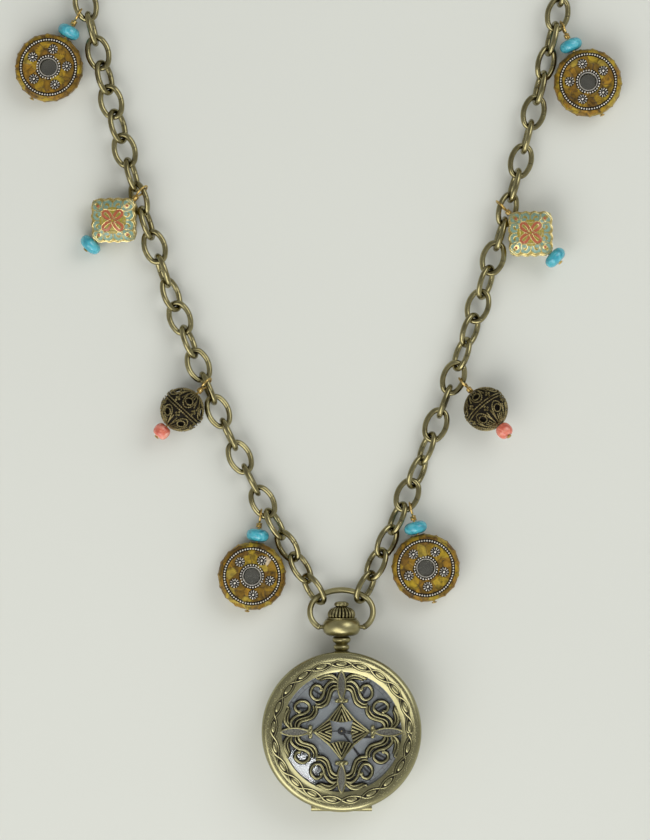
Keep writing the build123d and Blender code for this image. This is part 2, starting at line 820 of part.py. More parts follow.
def make_hour_wheel():
    wheel = gear(hour_teeth, hour_module, wheel_thickness, hour_level, (0, 0), minute_wheel_angle, False)
    tube = cylinder_up(hour_tube_radius, hour_level, hour_hand_bottom + hand_thickness)
    body = wheel + tube
    bore = cannon_tube_radius + tube_clearance
    return body - cylinder_up(bore, hour_level, hour_hand_bottom + 2 * hand_thickness)


post_places = [polar(post_distance, angle) for angle in post_angles]


def make_main_plate():
    plate = cylinder_up(plate_diameter / 2, plate_bottom, plate_top)
    for place in post_places:
        plate += cylinder_up(post_radius, bridge_top, plate_bottom, place)
        plate -= cylinder_up(screw_radius, bridge_top, bridge_top + screw_depth, place)
    hole = pivot_radius + pivot_clearance
    for place in (rotor_at, intermediate_at, third_at):
        plate -= cylinder_up(hole, plate_bottom, train_top + pivot_depth + pivot_clearance, place)
    plate -= cylinder_up(hole, plate_top - pivot_depth - pivot_clearance, plate_top, minute_at)
    plate -= cylinder_up(cannon_tube_radius + tube_clearance, plate_bottom, plate_top)
    return plate


def bridge_arm(start, end, radius):
    length = hypot(end[0] - start[0], end[1] - start[1])
    angle = degrees(atan2(end[1] - start[1], end[0] - start[0]))
    slab = Pos(length / 2, 0, (bridge_bottom + bridge_top) / 2) * Box(length, 2 * radius, bridge_thickness)
    slab = Pos(start[0], start[1], 0) * Rot(0, 0, angle) * slab
    return slab + cylinder_up(radius, bridge_bottom, bridge_top, end)


def make_train_bridge():
    bridge = cylinder_up(bridge_lobe_radius, bridge_bottom, bridge_top)
    for place in post_places:
        bridge += bridge_arm((0, 0), place, post_radius)
    for place in (third_at, intermediate_at):
        bridge += bridge_arm((0, 0), place, bridge_lobe_radius / 2)
    bridge += bridge_arm(intermediate_at, rotor_at, bridge_lobe_radius / 2)
    hole = pivot_radius + pivot_clearance
    for place in ((0, 0), rotor_at, intermediate_at, third_at):
        bridge -= cylinder_up(hole, bridge_top - pivot_depth, bridge_top, place)
    for place in post_places:
        bridge -= cylinder_up(screw_radius, bridge_bottom, bridge_top, place)
    return bridge


def make_bridge_screws():
    screws = []
    for place in post_places:
        shank = cylinder_up(screw_radius, bridge_bottom, bridge_top + screw_depth, place)
        head = cylinder_up(screw_head_radius, bridge_bottom - screw_head_height, bridge_bottom, place)
        slot = Pos(place[0], place[1], bridge_bottom - screw_head_height) * Box(
            2 * screw_head_radius, screw_radius / 2, screw_head_height)
        screws.append(shank + head - slot)
    return Compound(screws)


def make_battery():
    radius = battery_diameter / 2
    place = (battery_across, battery_out)
    can = cylinder_up(radius, battery_bottom + battery_step, battery_bottom + battery_height, place)
    return can + cylinder_up(radius - battery_step, battery_bottom, battery_bottom + battery_step, place)


coil_start = coil_offset_across - coil_length / 2
coil_end = coil_offset_across + coil_length / 2


def make_coil():
    coil = cylinder_across(coil_radius, coil_start, coil_end, coil_offset_out, coil_centre_height)
    for start in (coil_start, coil_end - coil_flange_width):
        coil += cylinder_across(coil_flange_radius, start, start + coil_flange_width, coil_offset_out,
                                coil_centre_height)
    half = core_half_width
    core_top = plate_bottom - stator_thickness
    for start, end in ((coil_start - stator_arm_width, coil_start), (coil_end, coil_end + stator_arm_width)):
        coil += box_between((start, coil_offset_out - half, coil_centre_height - half),
                            (end, coil_offset_out + half, core_top))
    return coil


def make_stator():
    bottom = plate_bottom - stator_thickness
    half = stator_arm_width / 2
    plate = Plane.XY.offset(bottom)
    left = (coil_start - half, coil_offset_out)
    right = (coil_end + half, coil_offset_out)
    shape = Pos(*rotor_at) * Circle(rotor_magnet_radius + stator_clearance + half)
    for corner in (left, right):
        span = Polyline(corner, (corner[0], rotor_at[1]), rotor_at)
        shape += trace(span, stator_arm_width)
    shape -= Pos(*rotor_at) * Circle(rotor_magnet_radius + stator_clearance)
    return extrude(plate * shape, stator_thickness)


def make_circuit_board():
    start = board_start_angle
    end = start + board_sweep
    middle = start + board_sweep / 2
    outer = ThreePointArc(polar(board_outer_radius, start), polar(board_outer_radius, middle),
                          polar(board_outer_radius, end))
    inner = ThreePointArc(polar(board_inner_radius, end), polar(board_inner_radius, middle),
                          polar(board_inner_radius, start))
    one = Line(polar(board_outer_radius, end), polar(board_inner_radius, end))
    other = Line(polar(board_inner_radius, start), polar(board_outer_radius, start))
    outline = make_face(Wire([outer, one, inner, other]))
    board = Pos(0, 0, board_bottom) * extrude(outline, board_thickness)
    middle_radius = (board_outer_radius + board_inner_radius) / 2
    chip_at = polar(middle_radius, start + board_sweep / 4)
    chip = box_between((chip_at[0] - chip_size / 2, chip_at[1] - chip_size / 2, board_bottom - chip_height),
                       (chip_at[0] + chip_size / 2, chip_at[1] + chip_size / 2, board_bottom))
    can_angle = start + board_sweep * 3 / 4
    can = Rot(0, 0, can_angle + 90) * Rot(0, 90, 0) * Cylinder(can_radius, can_length)
    can = Pos(*polar(middle_radius, can_angle), board_bottom - can_radius) * can
    return board + chip + can


# Chain

half_length = (link_length - link_wire_diameter) / 2
half_width = (link_width - link_wire_diameter) / 2
end_offset = half_length - link_end_radius
end_surplus = half_width - link_end_radius
side_rise = (end_offset ** 2 - end_surplus ** 2) / (2 * end_surplus)
side_radius = side_rise + half_width
join_scale = side_radius / (side_radius - link_end_radius)
join = (end_offset * join_scale, (join_scale - 1) * side_rise)


def oval_point(angle):
    """Point of the oval centre line at an angle about its middle, and its outward direction there."""
    c = cos(radians(angle))
    s = sin(radians(angle))
    if abs(s) * join[0] <= abs(c) * join[1]:
        end = end_offset if c > 0 else -end_offset
        reach = end * c + sqrt(link_end_radius ** 2 - (end * s) ** 2)
        return reach * c, reach * s, (reach * c - end) / link_end_radius, reach * s / link_end_radius
    reach = sqrt(side_radius ** 2 - (side_rise * c) ** 2) - abs(s) * side_rise
    rise = side_rise if s > 0 else -side_rise
    return reach * c, reach * s, reach * c / side_radius, (reach * s + rise) / side_radius


def oval_link():
    """Closed oval ring of round wire, long along local x, lying in the local xy plane."""
    front = ThreePointArc((join[0], -join[1]), (half_length, 0), join)
    top = ThreePointArc(join, (0, half_width), (-join[0], join[1]))
    back = ThreePointArc((-join[0], join[1]), (-half_length, 0), (-join[0], -join[1]))
    bottom = ThreePointArc((-join[0], -join[1]), (0, -half_width), (join[0], -join[1]))
    edges = [*front.edges(), *top.edges(), *back.edges(), *bottom.edges()]
    path = Wire(edges)
    start = path.location_at(0)
    return sweep(Plane(start) * Circle(link_wire_diameter / 2), path=path)


class Link:
    """Place of one link: centre, heading across the surface and roll about its own length."""

    def __init__(self, centre, heading, roll):
        self.centre = Vector(*centre)
        self.along = Vector(cos(radians(heading)), sin(radians(heading)), 0)
        level = Vector(-sin(radians(heading)), cos(radians(heading)), 0)
        up = Vector(0, 0, 1)
        self.side = level * cos(radians(roll)) + up * sin(radians(roll))
        self.normal = self.along.cross(self.side)

    def plane(self):
        return Plane(origin=self.centre, x_dir=self.along, z_dir=self.normal)

    def on_wire(self, angle):
        """Point of the wire's centre line at an angle about the centre, and the outward direction there."""
        x, y, out_x, out_y = oval_point(angle)
        return self.centre + self.along * x + self.side * y, self.along * out_x + self.side * out_y


def visible_headings(side):
    if side < 0:
        start, end, curve = left_start_heading, left_end_heading, left_heading_curve
    else:
        start, end, curve = right_start_heading, right_end_heading, right_heading_curve
    span = visible_links - 1
    lean = [end + (start - end) * (1 - number / span) ** curve for number in range(visible_links)]
    return [90 - side * angle for angle in lean]


def bow_top_point(across):
    """Point of the bow's centre line at a place across the bow."""
    top_y = bow_geometry()[2]
    reach = top_y + sqrt(bow_top_radius ** 2 - across ** 2)
    point = bow_frame().from_local_coords((across, reach, 0))
    return Vector(*point)


def chain_side(side, turn):
    """Links from the bow outwards, with the unseen ones bent by turn degrees each."""
    headings = visible_headings(side)
    rolls = list(left_rolls if side < 0 else right_rolls)
    for number in range(left_back_links if side < 0 else right_back_links):
        headings.append(headings[-1] + side * turn)
        rolls.append(back_edge_roll if (number % 2 == 0) == (side < 0) else back_flat_roll)
    hook = bow_top_point(left_hook_across if side < 0 else right_hook_across)
    reach = link_length / 2 - link_wire_diameter - bow_wire_radius - bow_link_gap
    x = hook.X + reach * cos(radians(headings[0]))
    y = hook.Y + reach * sin(radians(headings[0]))
    links = [Link((x, y, chain_height), headings[0], rolls[0])]
    for number in range(1, len(headings)):
        for heading in (headings[number - 1], headings[number]):
            x += link_pitch / 2 * cos(radians(heading))
            y += link_pitch / 2 * sin(radians(heading))
        links.append(Link((x, y, chain_height), headings[number], rolls[number]))
    return links


jump_ring_centre_radius = (jump_ring_diameter - jump_ring_wire) / 2
jump_ring_inner_radius = jump_ring_centre_radius - jump_ring_wire / 2
ring_step = half_length + jump_ring_inner_radius - link_wire_diameter / 2 - ring_gap
clasp_hook_inner = clasp_hook_diameter / 2 - clasp_hook_bar
clasp_corner_reach = sqrt((jump_ring_inner_radius - ring_gap) ** 2 - (clasp_thickness / 2) ** 2)
eye_bar = (clasp_eye_diameter - clasp_eye_hole) / 4
hook_reach = clasp_corner_reach - clasp_hook_bar / 2
eye_reach = clasp_corner_reach - eye_bar
clasp_span = clasp_body_length - clasp_hook_bar / 2 - eye_bar
closing_span = clasp_span + hook_reach + eye_reach + 2 * ring_step


def closing_turn():
    """Bend of each unseen link that brings the two ends as far apart as the clasp and its rings reach."""
    low = 0.0
    high = 180 / right_back_links
    for _ in range(40):
        turn = (low + high) / 2
        left = chain_side(-1, turn)[-1].centre
        right = chain_side(1, turn)[-1].centre
        if (right - left).length > closing_span:
            low = turn
        else:
            high = turn
    return turn


back_turn = closing_turn()
left_chain = chain_side(-1, back_turn)
right_chain = chain_side(1, back_turn)
one_link = oval_link()


def link_group(links, extra=()):
    return Compound([link.plane().location * one_link for link in links] + list(extra))


left_end = left_chain[-1].centre
right_end = right_chain[-1].centre
clasp_line = (right_end - left_end).normalized()
clasp_cross = Vector(-clasp_line.Y, clasp_line.X, 0)
left_ring_centre = left_end + clasp_line * ring_step
right_ring_centre = right_end - clasp_line * ring_step
hook_bar_centre = left_ring_centre + clasp_line * hook_reach
clasp_plane = Plane(origin=hook_bar_centre, x_dir=clasp_line, z_dir=(0, 0, 1))


def jump_ring(centre):
    ring = Torus(jump_ring_centre_radius, jump_ring_wire / 2)
    return Plane(origin=centre, x_dir=clasp_line, z_dir=clasp_cross).location * ring


def make_left_chain_lower():
    return link_group(left_chain[:lower_link_count])


def make_left_chain_upper():
    return link_group(left_chain[lower_link_count:], [jump_ring(left_ring_centre)])


def make_right_chain_lower():
    return link_group(right_chain[:lower_link_count])


def make_right_chain_upper():
    return link_group(right_chain[lower_link_count:], [jump_ring(right_ring_centre)])


# Clasp. Local x runs from the hook's nose to the eye, local y is across and the nose bar is at the origin.

hook_centre = (clasp_hook_diameter - clasp_hook_bar) / 2
eye_centre = clasp_span - eye_bar - clasp_eye_hole / 2
lever_pivot = (lever_pivot_along, lever_pivot_across)
lever_eye_radius = lever_pivot_radius + lever_width / 2


def rectangle_between(low, high):
    middle = Pos((low[0] + high[0]) / 2, (low[1] + high[1]) / 2)
    return middle * Rectangle(high[0] - low[0], high[1] - low[1])


def clasp_slab(sketch, thickness):
    return Pos(0, 0, -thickness / 2) * extrude(sketch, thickness)


def make_clasp_body():
    hole = Pos(hook_centre, 0) * Circle(clasp_hook_inner)
    neck = rectangle_between((2 * hook_centre - clasp_hook_bar, -clasp_hook_bar),
                             (eye_centre, clasp_hook_bar))
    sketch = Pos(hook_centre, 0) * Circle(clasp_hook_diameter / 2) + neck
    sketch += Pos(eye_centre, 0) * Circle(clasp_eye_diameter / 2)
    sketch -= hole + Pos(eye_centre, 0) * Circle(clasp_eye_hole / 2)
    body = clasp_slab(sketch, clasp_thickness)
    reach = lever_eye_radius + clasp_slot_gap
    slot = rectangle_between((clasp_gate_start, lever_pivot_across - reach),
                             (lever_pivot_along + reach, clasp_hook_diameter))
    body -= clasp_slab(slot, clasp_slot_height)
    gate = rectangle_between((clasp_gate_start, clasp_gate_inner), (clasp_gate_end, clasp_hook_diameter))
    body -= clasp_slab(gate, 2 * clasp_thickness)
    pin = Pos(*lever_pivot, 0) * Cylinder(lever_pivot_radius, clasp_thickness)
    return clasp_plane.location * (body + pin)


def make_clasp_lever():
    middle = Pos(hook_centre, 0)
    band = middle * (Circle(hook_centre + lever_width / 2) - Circle(hook_centre - lever_width / 2))
    tip_reach = lever_pivot_along - clasp_gate_start - lever_tip_gap
    band = band & rectangle_between((clasp_gate_start, 0), (lever_pivot_along, clasp_hook_diameter))
    band = band & (Pos(*lever_pivot) * Circle(tip_reach))
    lever = band + Pos(*lever_pivot) * Circle(lever_eye_radius)
    lever += Pos(hook_centre, hook_centre + lever_width) * Circle(lever_nub_radius)
    lever -= Pos(*lever_pivot) * Circle(lever_pivot_radius + lever_pivot_clearance)
    lever = lever & rectangle_between((0, lever_pivot_across - lever_eye_radius),
                                      (clasp_body_length, clasp_body_length))
    return clasp_plane.location * clasp_slab(lever, lever_thickness)


# Charms. Each is built along local x from the point where its loop hangs, with local z up.

class Charm:
    """A charm hung on a link: where its loop sits, which way it lies and how high its bead rests."""

    def __init__(self, link, angle, direction, bead_distance, bead_height):
        self.hang, outward = link.on_wire(angle)
        self.wire = outward.cross(link.normal)
        rise = asin((bead_height - self.hang.Z) / bead_distance)
        level = Vector(cos(radians(direction)), sin(radians(direction)), 0)
        self.along = level * cos(rise) + Vector(0, 0, sin(rise))
        across = Vector(0, 0, 1).cross(level)
        self.frame = Plane(origin=self.hang, x_dir=self.along, z_dir=self.along.cross(across)).location
        loop_normal = self.wire - self.along * self.wire.dot(self.along)
        self.loop_frame = Plane(origin=self.hang, x_dir=self.along, z_dir=loop_normal).location


loop_offset = loop_radius - pin_radius - link_wire_diameter / 2 - loop_gap
loop_end = loop_offset + loop_radius
wrap_end = loop_end + wrap_length
disc_rondelle_distance = wrap_end + bead_gap + rondelle_thickness / 2
disc_distance = disc_rondelle_distance + rondelle_thickness / 2 + bead_gap + disc_diameter / 2
square_reach = square_side / sqrt(2) - square_corner_radius * (sqrt(2) - 1)
square_distance = wrap_end + bead_gap + square_reach
square_rondelle_distance = square_distance + square_reach + bead_gap + rondelle_thickness / 2
ball_charm_distance = wrap_end + bead_gap + ball_charm_diameter / 2
coral_distance = ball_charm_distance + ball_charm_diameter / 2 + bead_gap + coral_thickness / 2


def wire_pin(charm, end):
    """Loop, wrapped neck, straight pin and round head in one piece of wire."""
    head_at = end + bead_gap + pin_head_thickness / 2
    loop = charm.loop_frame * (Pos(loop_offset, 0, 0) * Torus(loop_radius, pin_radius))
    neck = Pos(loop_end + wrap_length / 2, 0, 0) * Rot(0, 90, 0) * Cylinder(wrap_radius, wrap_length)
    rod = Pos((loop_end + head_at) / 2, 0, 0) * Rot(0, 90, 0) * Cylinder(pin_radius, head_at - loop_end)
    head = Pos(head_at, 0, 0) * Rot(0, 90, 0) * Cylinder(pin_head_radius, pin_head_thickness)
    return loop + charm.frame * (neck + rod + head)


def pin_bore(start, end):
    hole = Cylinder(pin_radius + pin_bore_clearance, end - start)
    return Pos((start + end) / 2, 0, 0) * Rot(0, 90, 0) * hole


def round_bead(distance, diameter, thickness):
    half = thickness / 2
    corner = min(half, diameter / 4)
    profile = lens(diameter / 2 - corner, half, corner, 8)
    outline = [(0, half)] + profile + [(0, -half)]
    bead = Pos(distance, 0, 0) * Rot(0, 90, 0) * turned(outline)
    return bead - pin_bore(distance - thickness, distance + thickness)


def disc_bead():
    radius = disc_diameter / 2
    half = disc_thickness / 2
    face = disc_face_diameter / 2
    step = half - disc_face_step
    outline = [(0, half - disc_cup_depth), (disc_cup_diameter / 2, half - disc_cup_depth),
               (disc_cup_diameter / 2, half), (disc_bezel_diameter / 2, half),
               (disc_bezel_diameter / 2, step), (face, step), ((face + 2 * radius) / 3, step * 3 / 4),
               (radius, step / 3)]
    lower = [(x, -z) for x, z in reversed(outline)]
    bead = Pos(disc_distance, 0, 0) * turned(outline + lower)
    return bead - pin_bore(disc_distance - disc_diameter, disc_distance + disc_diameter)


def square_bead():
    """Puffy square, hung by one corner."""
    outline = RectangleRounded(square_side, square_side, square_corner_radius)
    edge = extrude(Pos(0, 0, -square_edge_height / 2) * outline, square_edge_height)
    crest = (square_thickness - square_edge_height) / 2
    crest_side = square_side - 2 * crest
    small = RectangleRounded(crest_side, crest_side, square_corner_radius / 2)
    dome = loft([Pos(0, 0, square_edge_height / 2) * outline, Pos(0, 0, square_thickness / 2) * small],
                ruled=True)
    bead = edge + dome + mirror(dome, Plane.XY)
    bead = Pos(square_distance, 0, 0) * Rot(0, 0, 45) * bead
    return bead - pin_bore(square_distance - square_side, square_distance + square_side)


def ball_bead():
    radius = ball_charm_diameter / 2
    shell = Sphere(radius) - Sphere(radius - ball_charm_wall)
    drill = Pos(radius, 0, 0) * Rot(0, 90, 0) * Cylinder(ball_window_diameter / 2, radius)
    for latitude in (-ball_window_latitude, ball_window_latitude):
        for number in range(ball_windows_around):
            turn = 360 * (number + (latitude > 0) / 2) / ball_windows_around
            shell -= Rot(0, 0, turn) * Rot(0, latitude, 0) * drill
    shell = Rot(0, 90, 0) * shell
    bead = Pos(ball_charm_distance, 0, 0) * shell
    return bead - pin_bore(ball_charm_distance - ball_charm_diameter,
                           ball_charm_distance + ball_charm_diameter)


disc_height = disc_thickness / 2 + table_gap
square_height = square_thickness / 2 + table_gap
ball_height = ball_charm_diameter / 2 + table_gap

left_links = left_chain[visible_links - 1::-1]
right_links = right_chain[visible_links - 1::-1]

charms = {
    "lower_left_disc": Charm(left_links[21], 142, 262, disc_distance, disc_height),
    "top_left_disc": Charm(left_links[0], 130, 241, disc_distance, disc_height),
    "lower_right_disc": Charm(right_links[21], -142, 284, disc_distance, disc_height),
    "top_right_disc": Charm(right_links[1], -144, 294, disc_distance, disc_height),
    "left_square": Charm(left_links[8], -52, 226, square_distance, square_height),
    "right_square": Charm(right_links[9], 76, 316, square_distance, square_height + right_square_lift),
    "left_ball": Charm(left_links[16], 60, 227, ball_charm_distance, ball_height),
    "right_ball": Charm(right_links[16], -94, 310, ball_charm_distance, ball_height),
}


def charm_parts(name):
    charm = charms[name]
    if "disc" in name:
        pin = wire_pin(charm, disc_distance + disc_diameter / 2)
        accent = round_bead(disc_rondelle_distance, rondelle_diameter, rondelle_thickness)
        return pin, charm.frame * accent, charm.frame * disc_bead()
    if "square" in name:
        pin = wire_pin(charm, square_rondelle_distance + rondelle_thickness / 2)
        accent = round_bead(square_rondelle_distance, rondelle_diameter, rondelle_thickness)
        return pin, charm.frame * accent, charm.frame * square_bead()
    pin = wire_pin(charm, coral_distance + coral_thickness / 2)
    accent = round_bead(coral_distance, coral_diameter, coral_thickness)
    return pin, charm.frame * accent, charm.frame * ball_bead()


def main():
    parts = {
        "case_back": make_case_back(),
        "case_middle": make_case_middle(),
        "crystal": make_crystal(),
        "front_cover": make_front_cover(),
        "cover_hinge_pin": make_cover_hinge_pin(),
        "cover_catch": make_cover_catch(),
        "pendant_neck": make_pendant_neck(),
        "winding_stem": make_winding_stem(),
        "crown": make_crown(),
        "bow": make_bow(),
        "dial": make_dial(),
        "hour_hand": make_hour_hand(),
        "minute_hand": make_minute_hand(),
        "second_hand": make_second_hand(),
        "movement_holder": make_movement_holder(),
        "main_plate": make_main_plate(),
        "train_bridge": make_train_bridge(),
        "bridge_screws": make_bridge_screws(),
        "battery": make_battery(),
        "coil": make_coil(),
        "stator": make_stator(),
        "rotor": make_rotor(),
        "intermediate_wheel": make_intermediate_wheel(),
        "seconds_wheel": make_seconds_wheel(),
        "third_wheel": make_third_wheel(),
        "centre_wheel": make_centre_wheel(),
        "minute_wheel": make_minute_wheel(),
        "hour_wheel": make_hour_wheel(),
        "circuit_board": make_circuit_board(),
        "left_chain_lower": make_left_chain_lower(),
        "left_chain_upper": make_left_chain_upper(),
        "right_chain_lower": make_right_chain_lower(),
        "right_chain_upper": make_right_chain_upper(),
        "clasp_body": make_clasp_body(),
        "clasp_lever": make_clasp_lever(),
    }
    for name in charms:
        pin, accent, bead = charm_parts(name)
        parts[name + "_pin"] = pin
        parts[name + ("_coral" if "ball" in name else "_turquoise")] = accent
        parts[name + "_bead"] = bead
    os.makedirs("parts", exist_ok=True)
    for name, part in parts.items():
        export_step(part, "parts/" + name + ".step")


main()
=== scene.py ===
import random
from math import asin, atan2, copysign, cos, hypot, pi, radians, sin

import bmesh
import bpy
from mathutils import Matrix, Quaternion, Vector


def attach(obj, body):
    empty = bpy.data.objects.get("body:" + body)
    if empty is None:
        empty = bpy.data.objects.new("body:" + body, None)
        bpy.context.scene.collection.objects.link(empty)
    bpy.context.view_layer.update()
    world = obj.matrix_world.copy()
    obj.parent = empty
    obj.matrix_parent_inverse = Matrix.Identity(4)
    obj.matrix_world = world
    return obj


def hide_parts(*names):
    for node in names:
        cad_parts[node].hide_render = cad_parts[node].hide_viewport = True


# Pendant watch on its charm chain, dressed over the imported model.
# Pieces are drawn in millimetres and placed in metres, face up, with the crown towards +Y.
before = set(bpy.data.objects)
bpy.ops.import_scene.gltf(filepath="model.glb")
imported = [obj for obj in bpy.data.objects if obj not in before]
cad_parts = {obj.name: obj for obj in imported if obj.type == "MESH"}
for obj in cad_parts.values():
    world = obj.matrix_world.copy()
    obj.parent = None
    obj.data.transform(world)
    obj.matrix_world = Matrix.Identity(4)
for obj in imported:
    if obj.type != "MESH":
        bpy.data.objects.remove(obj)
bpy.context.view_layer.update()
scene = bpy.context.scene
scene.view_settings.view_transform = "Standard"
mm = 0.001
fullTurn = 2 * pi
upward = Vector((0, 0, 1))
random.seed(7)


# Mesh helpers

class Piece:
    # gathers points and faces in millimetres, then makes one object of them
    def __init__(self, name):
        self.name = name
        self.points = []
        self.faces = []
        self.finishes = []
        self.soilAndShade = []
        self.tints = []

    def add(self, shape, finish=0, place=None, soilAndShade=0.0, tint=(1, 1, 1)):
        points, faces = shape
        start = len(self.points)
        if place is not None:
            points = [place @ point for point in points]
        self.points.extend(points)
        self.faces.extend([tuple(start + number for number in face) for face in faces])
        several = isinstance(finish, (list, tuple))
        self.finishes.extend(finish if several else [finish] * len(faces))
        self.soilAndShade.extend(soilAndShade if isinstance(soilAndShade, list) else [soilAndShade] * len(points))
        self.tints.extend(tint if isinstance(tint, list) else [tint] * len(points))

    def make(self, names, body, slot, replaced=(), sharp=40):
        mesh = bpy.data.meshes.new(self.name)
        mesh.from_pydata([Vector(point) * mm for point in self.points], [], self.faces)
        for name in names:
            mesh.materials.append(finishes[name])
        mesh.polygons.foreach_set("material_index", self.finishes)
        # per-point mask of real tarnish, grime and dark cement, and of painted shade in crevices, under parts
        # and between parts
        layer = mesh.attributes.new("soilAndShade", "FLOAT", "POINT")
        layer.data.foreach_set("value", self.soilAndShade)
        layer = mesh.attributes.new("tint", "FLOAT_COLOR", "POINT")
        layer.data.foreach_set("color", [part for tint in self.tints for part in (*tint, 1)])
        shell = bmesh.new()
        shell.from_mesh(mesh)
        bmesh.ops.recalc_face_normals(shell, faces=shell.faces)
        shell.to_mesh(mesh)
        shell.free()
        mesh.polygons.foreach_set("use_smooth", [True] * len(mesh.polygons))
        mesh.set_sharp_from_angle(angle=radians(sharp))
        obj = bpy.data.objects.new(self.name, mesh)
        scene.collection.objects.link(obj)
        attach(obj, body)
        if replaced:
            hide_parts(*replaced)
        return obj


def onCircle(radius, degreesRound, height=0.0):
    turn = radians(degreesRound)
    return Vector((radius * cos(turn), radius * sin(turn), height))


def circleLine(radius, count, height=0.0):
    return [onCircle(radius, 360 * n / count, height) for n in range(count)]


def turned(degreesRound, axis="Z"):
    return Matrix.Rotation(radians(degreesRound), 4, axis)


def flowLine(knots, perSpan=6, closed=False):
    # smooth curve through the knots
    knots = [Vector((*knot, 0)) if len(knot) == 2 else Vector(knot) for knot in knots]
    count = len(knots)
    line = []
    for number in range(count if closed else count - 1):
        if closed:
            a, b, c, d = (knots[(number + step) % count] for step in (-1, 0, 1, 2))
        else:
            a, b = knots[max(number - 1, 0)], knots[number]
            c, d = knots[number + 1], knots[min(number + 2, count - 1)]
        for step in range(perSpan):
            t = step / perSpan
            line.append((2 * b + (c - a) * t + (2 * a - 5 * b + 4 * c - d) * t ** 2
                         + (3 * b - 3 * c + d - a) * t ** 3) / 2)
    if not closed:
        line.append(knots[-1].copy())
    return line


def roundSection(radius, sides=10):
    return [(radius * cos(fullTurn * n / sides), radius * sin(fullTurn * n / sides)) for n in range(sides)]


def ringFaces(rings, count, start=0):
    # quads between each ring of points and the next one
    return [(start + ring * count + k, start + ring * count + (k + 1) % count,
             start + (ring + 1) * count + (k + 1) % count, start + (ring + 1) * count + k)
            for ring in range(rings) for k in range(count)]


def endCaps(rings, count):
    # flat faces over the first and the last ring
    return [tuple(range(count)), tuple(range(rings * count, (rings + 1) * count))]


def sweep(path, section, closed=False, lift=None, widths=None, swell=None):
    # carries a section of (across, up) points along a path, level with lift or free to follow the bends
    path = [Vector(point) for point in path]
    count = len(path)
    tangents = []
    for number in range(count):
        if closed:
            step = path[(number + 1) % count] - path[number - 1]
        else:
            step = path[min(number + 1, count - 1)] - path[max(number - 1, 0)]
        tangents.append(step.normalized())
    ups = []
    up = tangents[0].orthogonal().normalized()
    for number, tangent in enumerate(tangents):
        if lift is not None:
            up = lift[number] if isinstance(lift, list) else lift
        elif number:
            up = tangents[number - 1].rotation_difference(tangent) @ up
        up = (up - tangent * up.dot(tangent)).normalized()
        ups.append(up)
    if closed and lift is None:
        # spread the leftover twist over the whole loop
        last = tangents[-1].rotation_difference(tangents[0]) @ ups[-1]
        twist = atan2(last.cross(ups[0]).dot(tangents[0]), last.dot(ups[0]))
        ups = [Quaternion(t, twist * n / count) @ u for n, (t, u) in enumerate(zip(tangents, ups))]
    points = []
    for number in range(count):
        across = ups[number].cross(tangents[number])
        wide = widths[number] if widths else 1
        thick = swell[number] if swell else 1
        for side, rise in section:
            points.append(path[number] + across * side * wide * thick + ups[number] * rise * thick)
    sides = len(section)
    if closed:
        faces = [tuple(number % len(points) for number in face) for face in ringFaces(count, sides)]
    else:
        faces = ringFaces(count - 1, sides) + endCaps(count - 1, sides)
    return points, faces


def lathe(profile, steps=96, looped=False, shape=None):
    # turns a (radius, height) profile about Z, closed by flat ends unless it loops
    points = []
    for turn in range(steps):
        angle = fullTurn * turn / steps
        for number, (radius, height) in enumerate(profile):
            reach = radius * (shape(angle, number) if shape else 1)
            points.append(Vector((reach * cos(angle), reach * sin(angle), height)))
    size = len(profile)
    faces = []
    for turn in range(steps):
        after = (turn + 1) % steps
        for k in range(size if looped else size - 1):
            j = (k + 1) % size
            faces.append((turn * size + k, after * size + k, after * size + j, turn * size + j))
    if not looped:
        faces.append(tuple(turn * size for turn in range(steps)))
        faces.append(tuple(turn * size + size - 1 for turn in range(steps)))
    return points, faces


def roundProfile(knots, perSpan=4):
    return [(point.x, point.y) for point in flowLine(knots, perSpan)]


def ballShape(subdivisions):
    shell = bmesh.new()
    bmesh.ops.create_icosphere(shell, subdivisions=subdivisions, radius=1)
    shape = [vert.co.copy() for vert in shell.verts], [tuple(v.index for v in face.verts)
                                                       for face in shell.faces]
    shell.free()
    return shape


seedPoints, seedFaces = ballShape(2)


def seed(centre, radius, flat=1.0):
    # one small granule
    middle = Vector(centre)
    return [middle + Vector((p.x * radius, p.y * radius, p.z * radius * flat)) for p in seedPoints], seedFaces


# granules keep their tops bright and take painted shade round the foot
seedShade = [min(1.0, max(0.0, 0.85 - p.z)) for p in seedPoints]


def slab(outline, bottom, top, bevel=0.0):
    # flat plate of an outline, with an optional chamfer round its top edge
    count = len(outline)
    middle = sum((Vector((x, y, 0)) for x, y in outline), Vector()) / count
    rings = [(0, bottom), (0, top - bevel)]
    if bevel:
        rings.append((bevel, top))
    points = []
    for inset, height in rings:
        for x, y in outline:
            spot = Vector((x, y, 0))
            spot -= (spot - middle).normalized() * inset
            points.append(Vector((spot.x, spot.y, height)))
    return points, ringFaces(len(rings) - 1, count) + endCaps(len(rings) - 1, count)


# Finishes

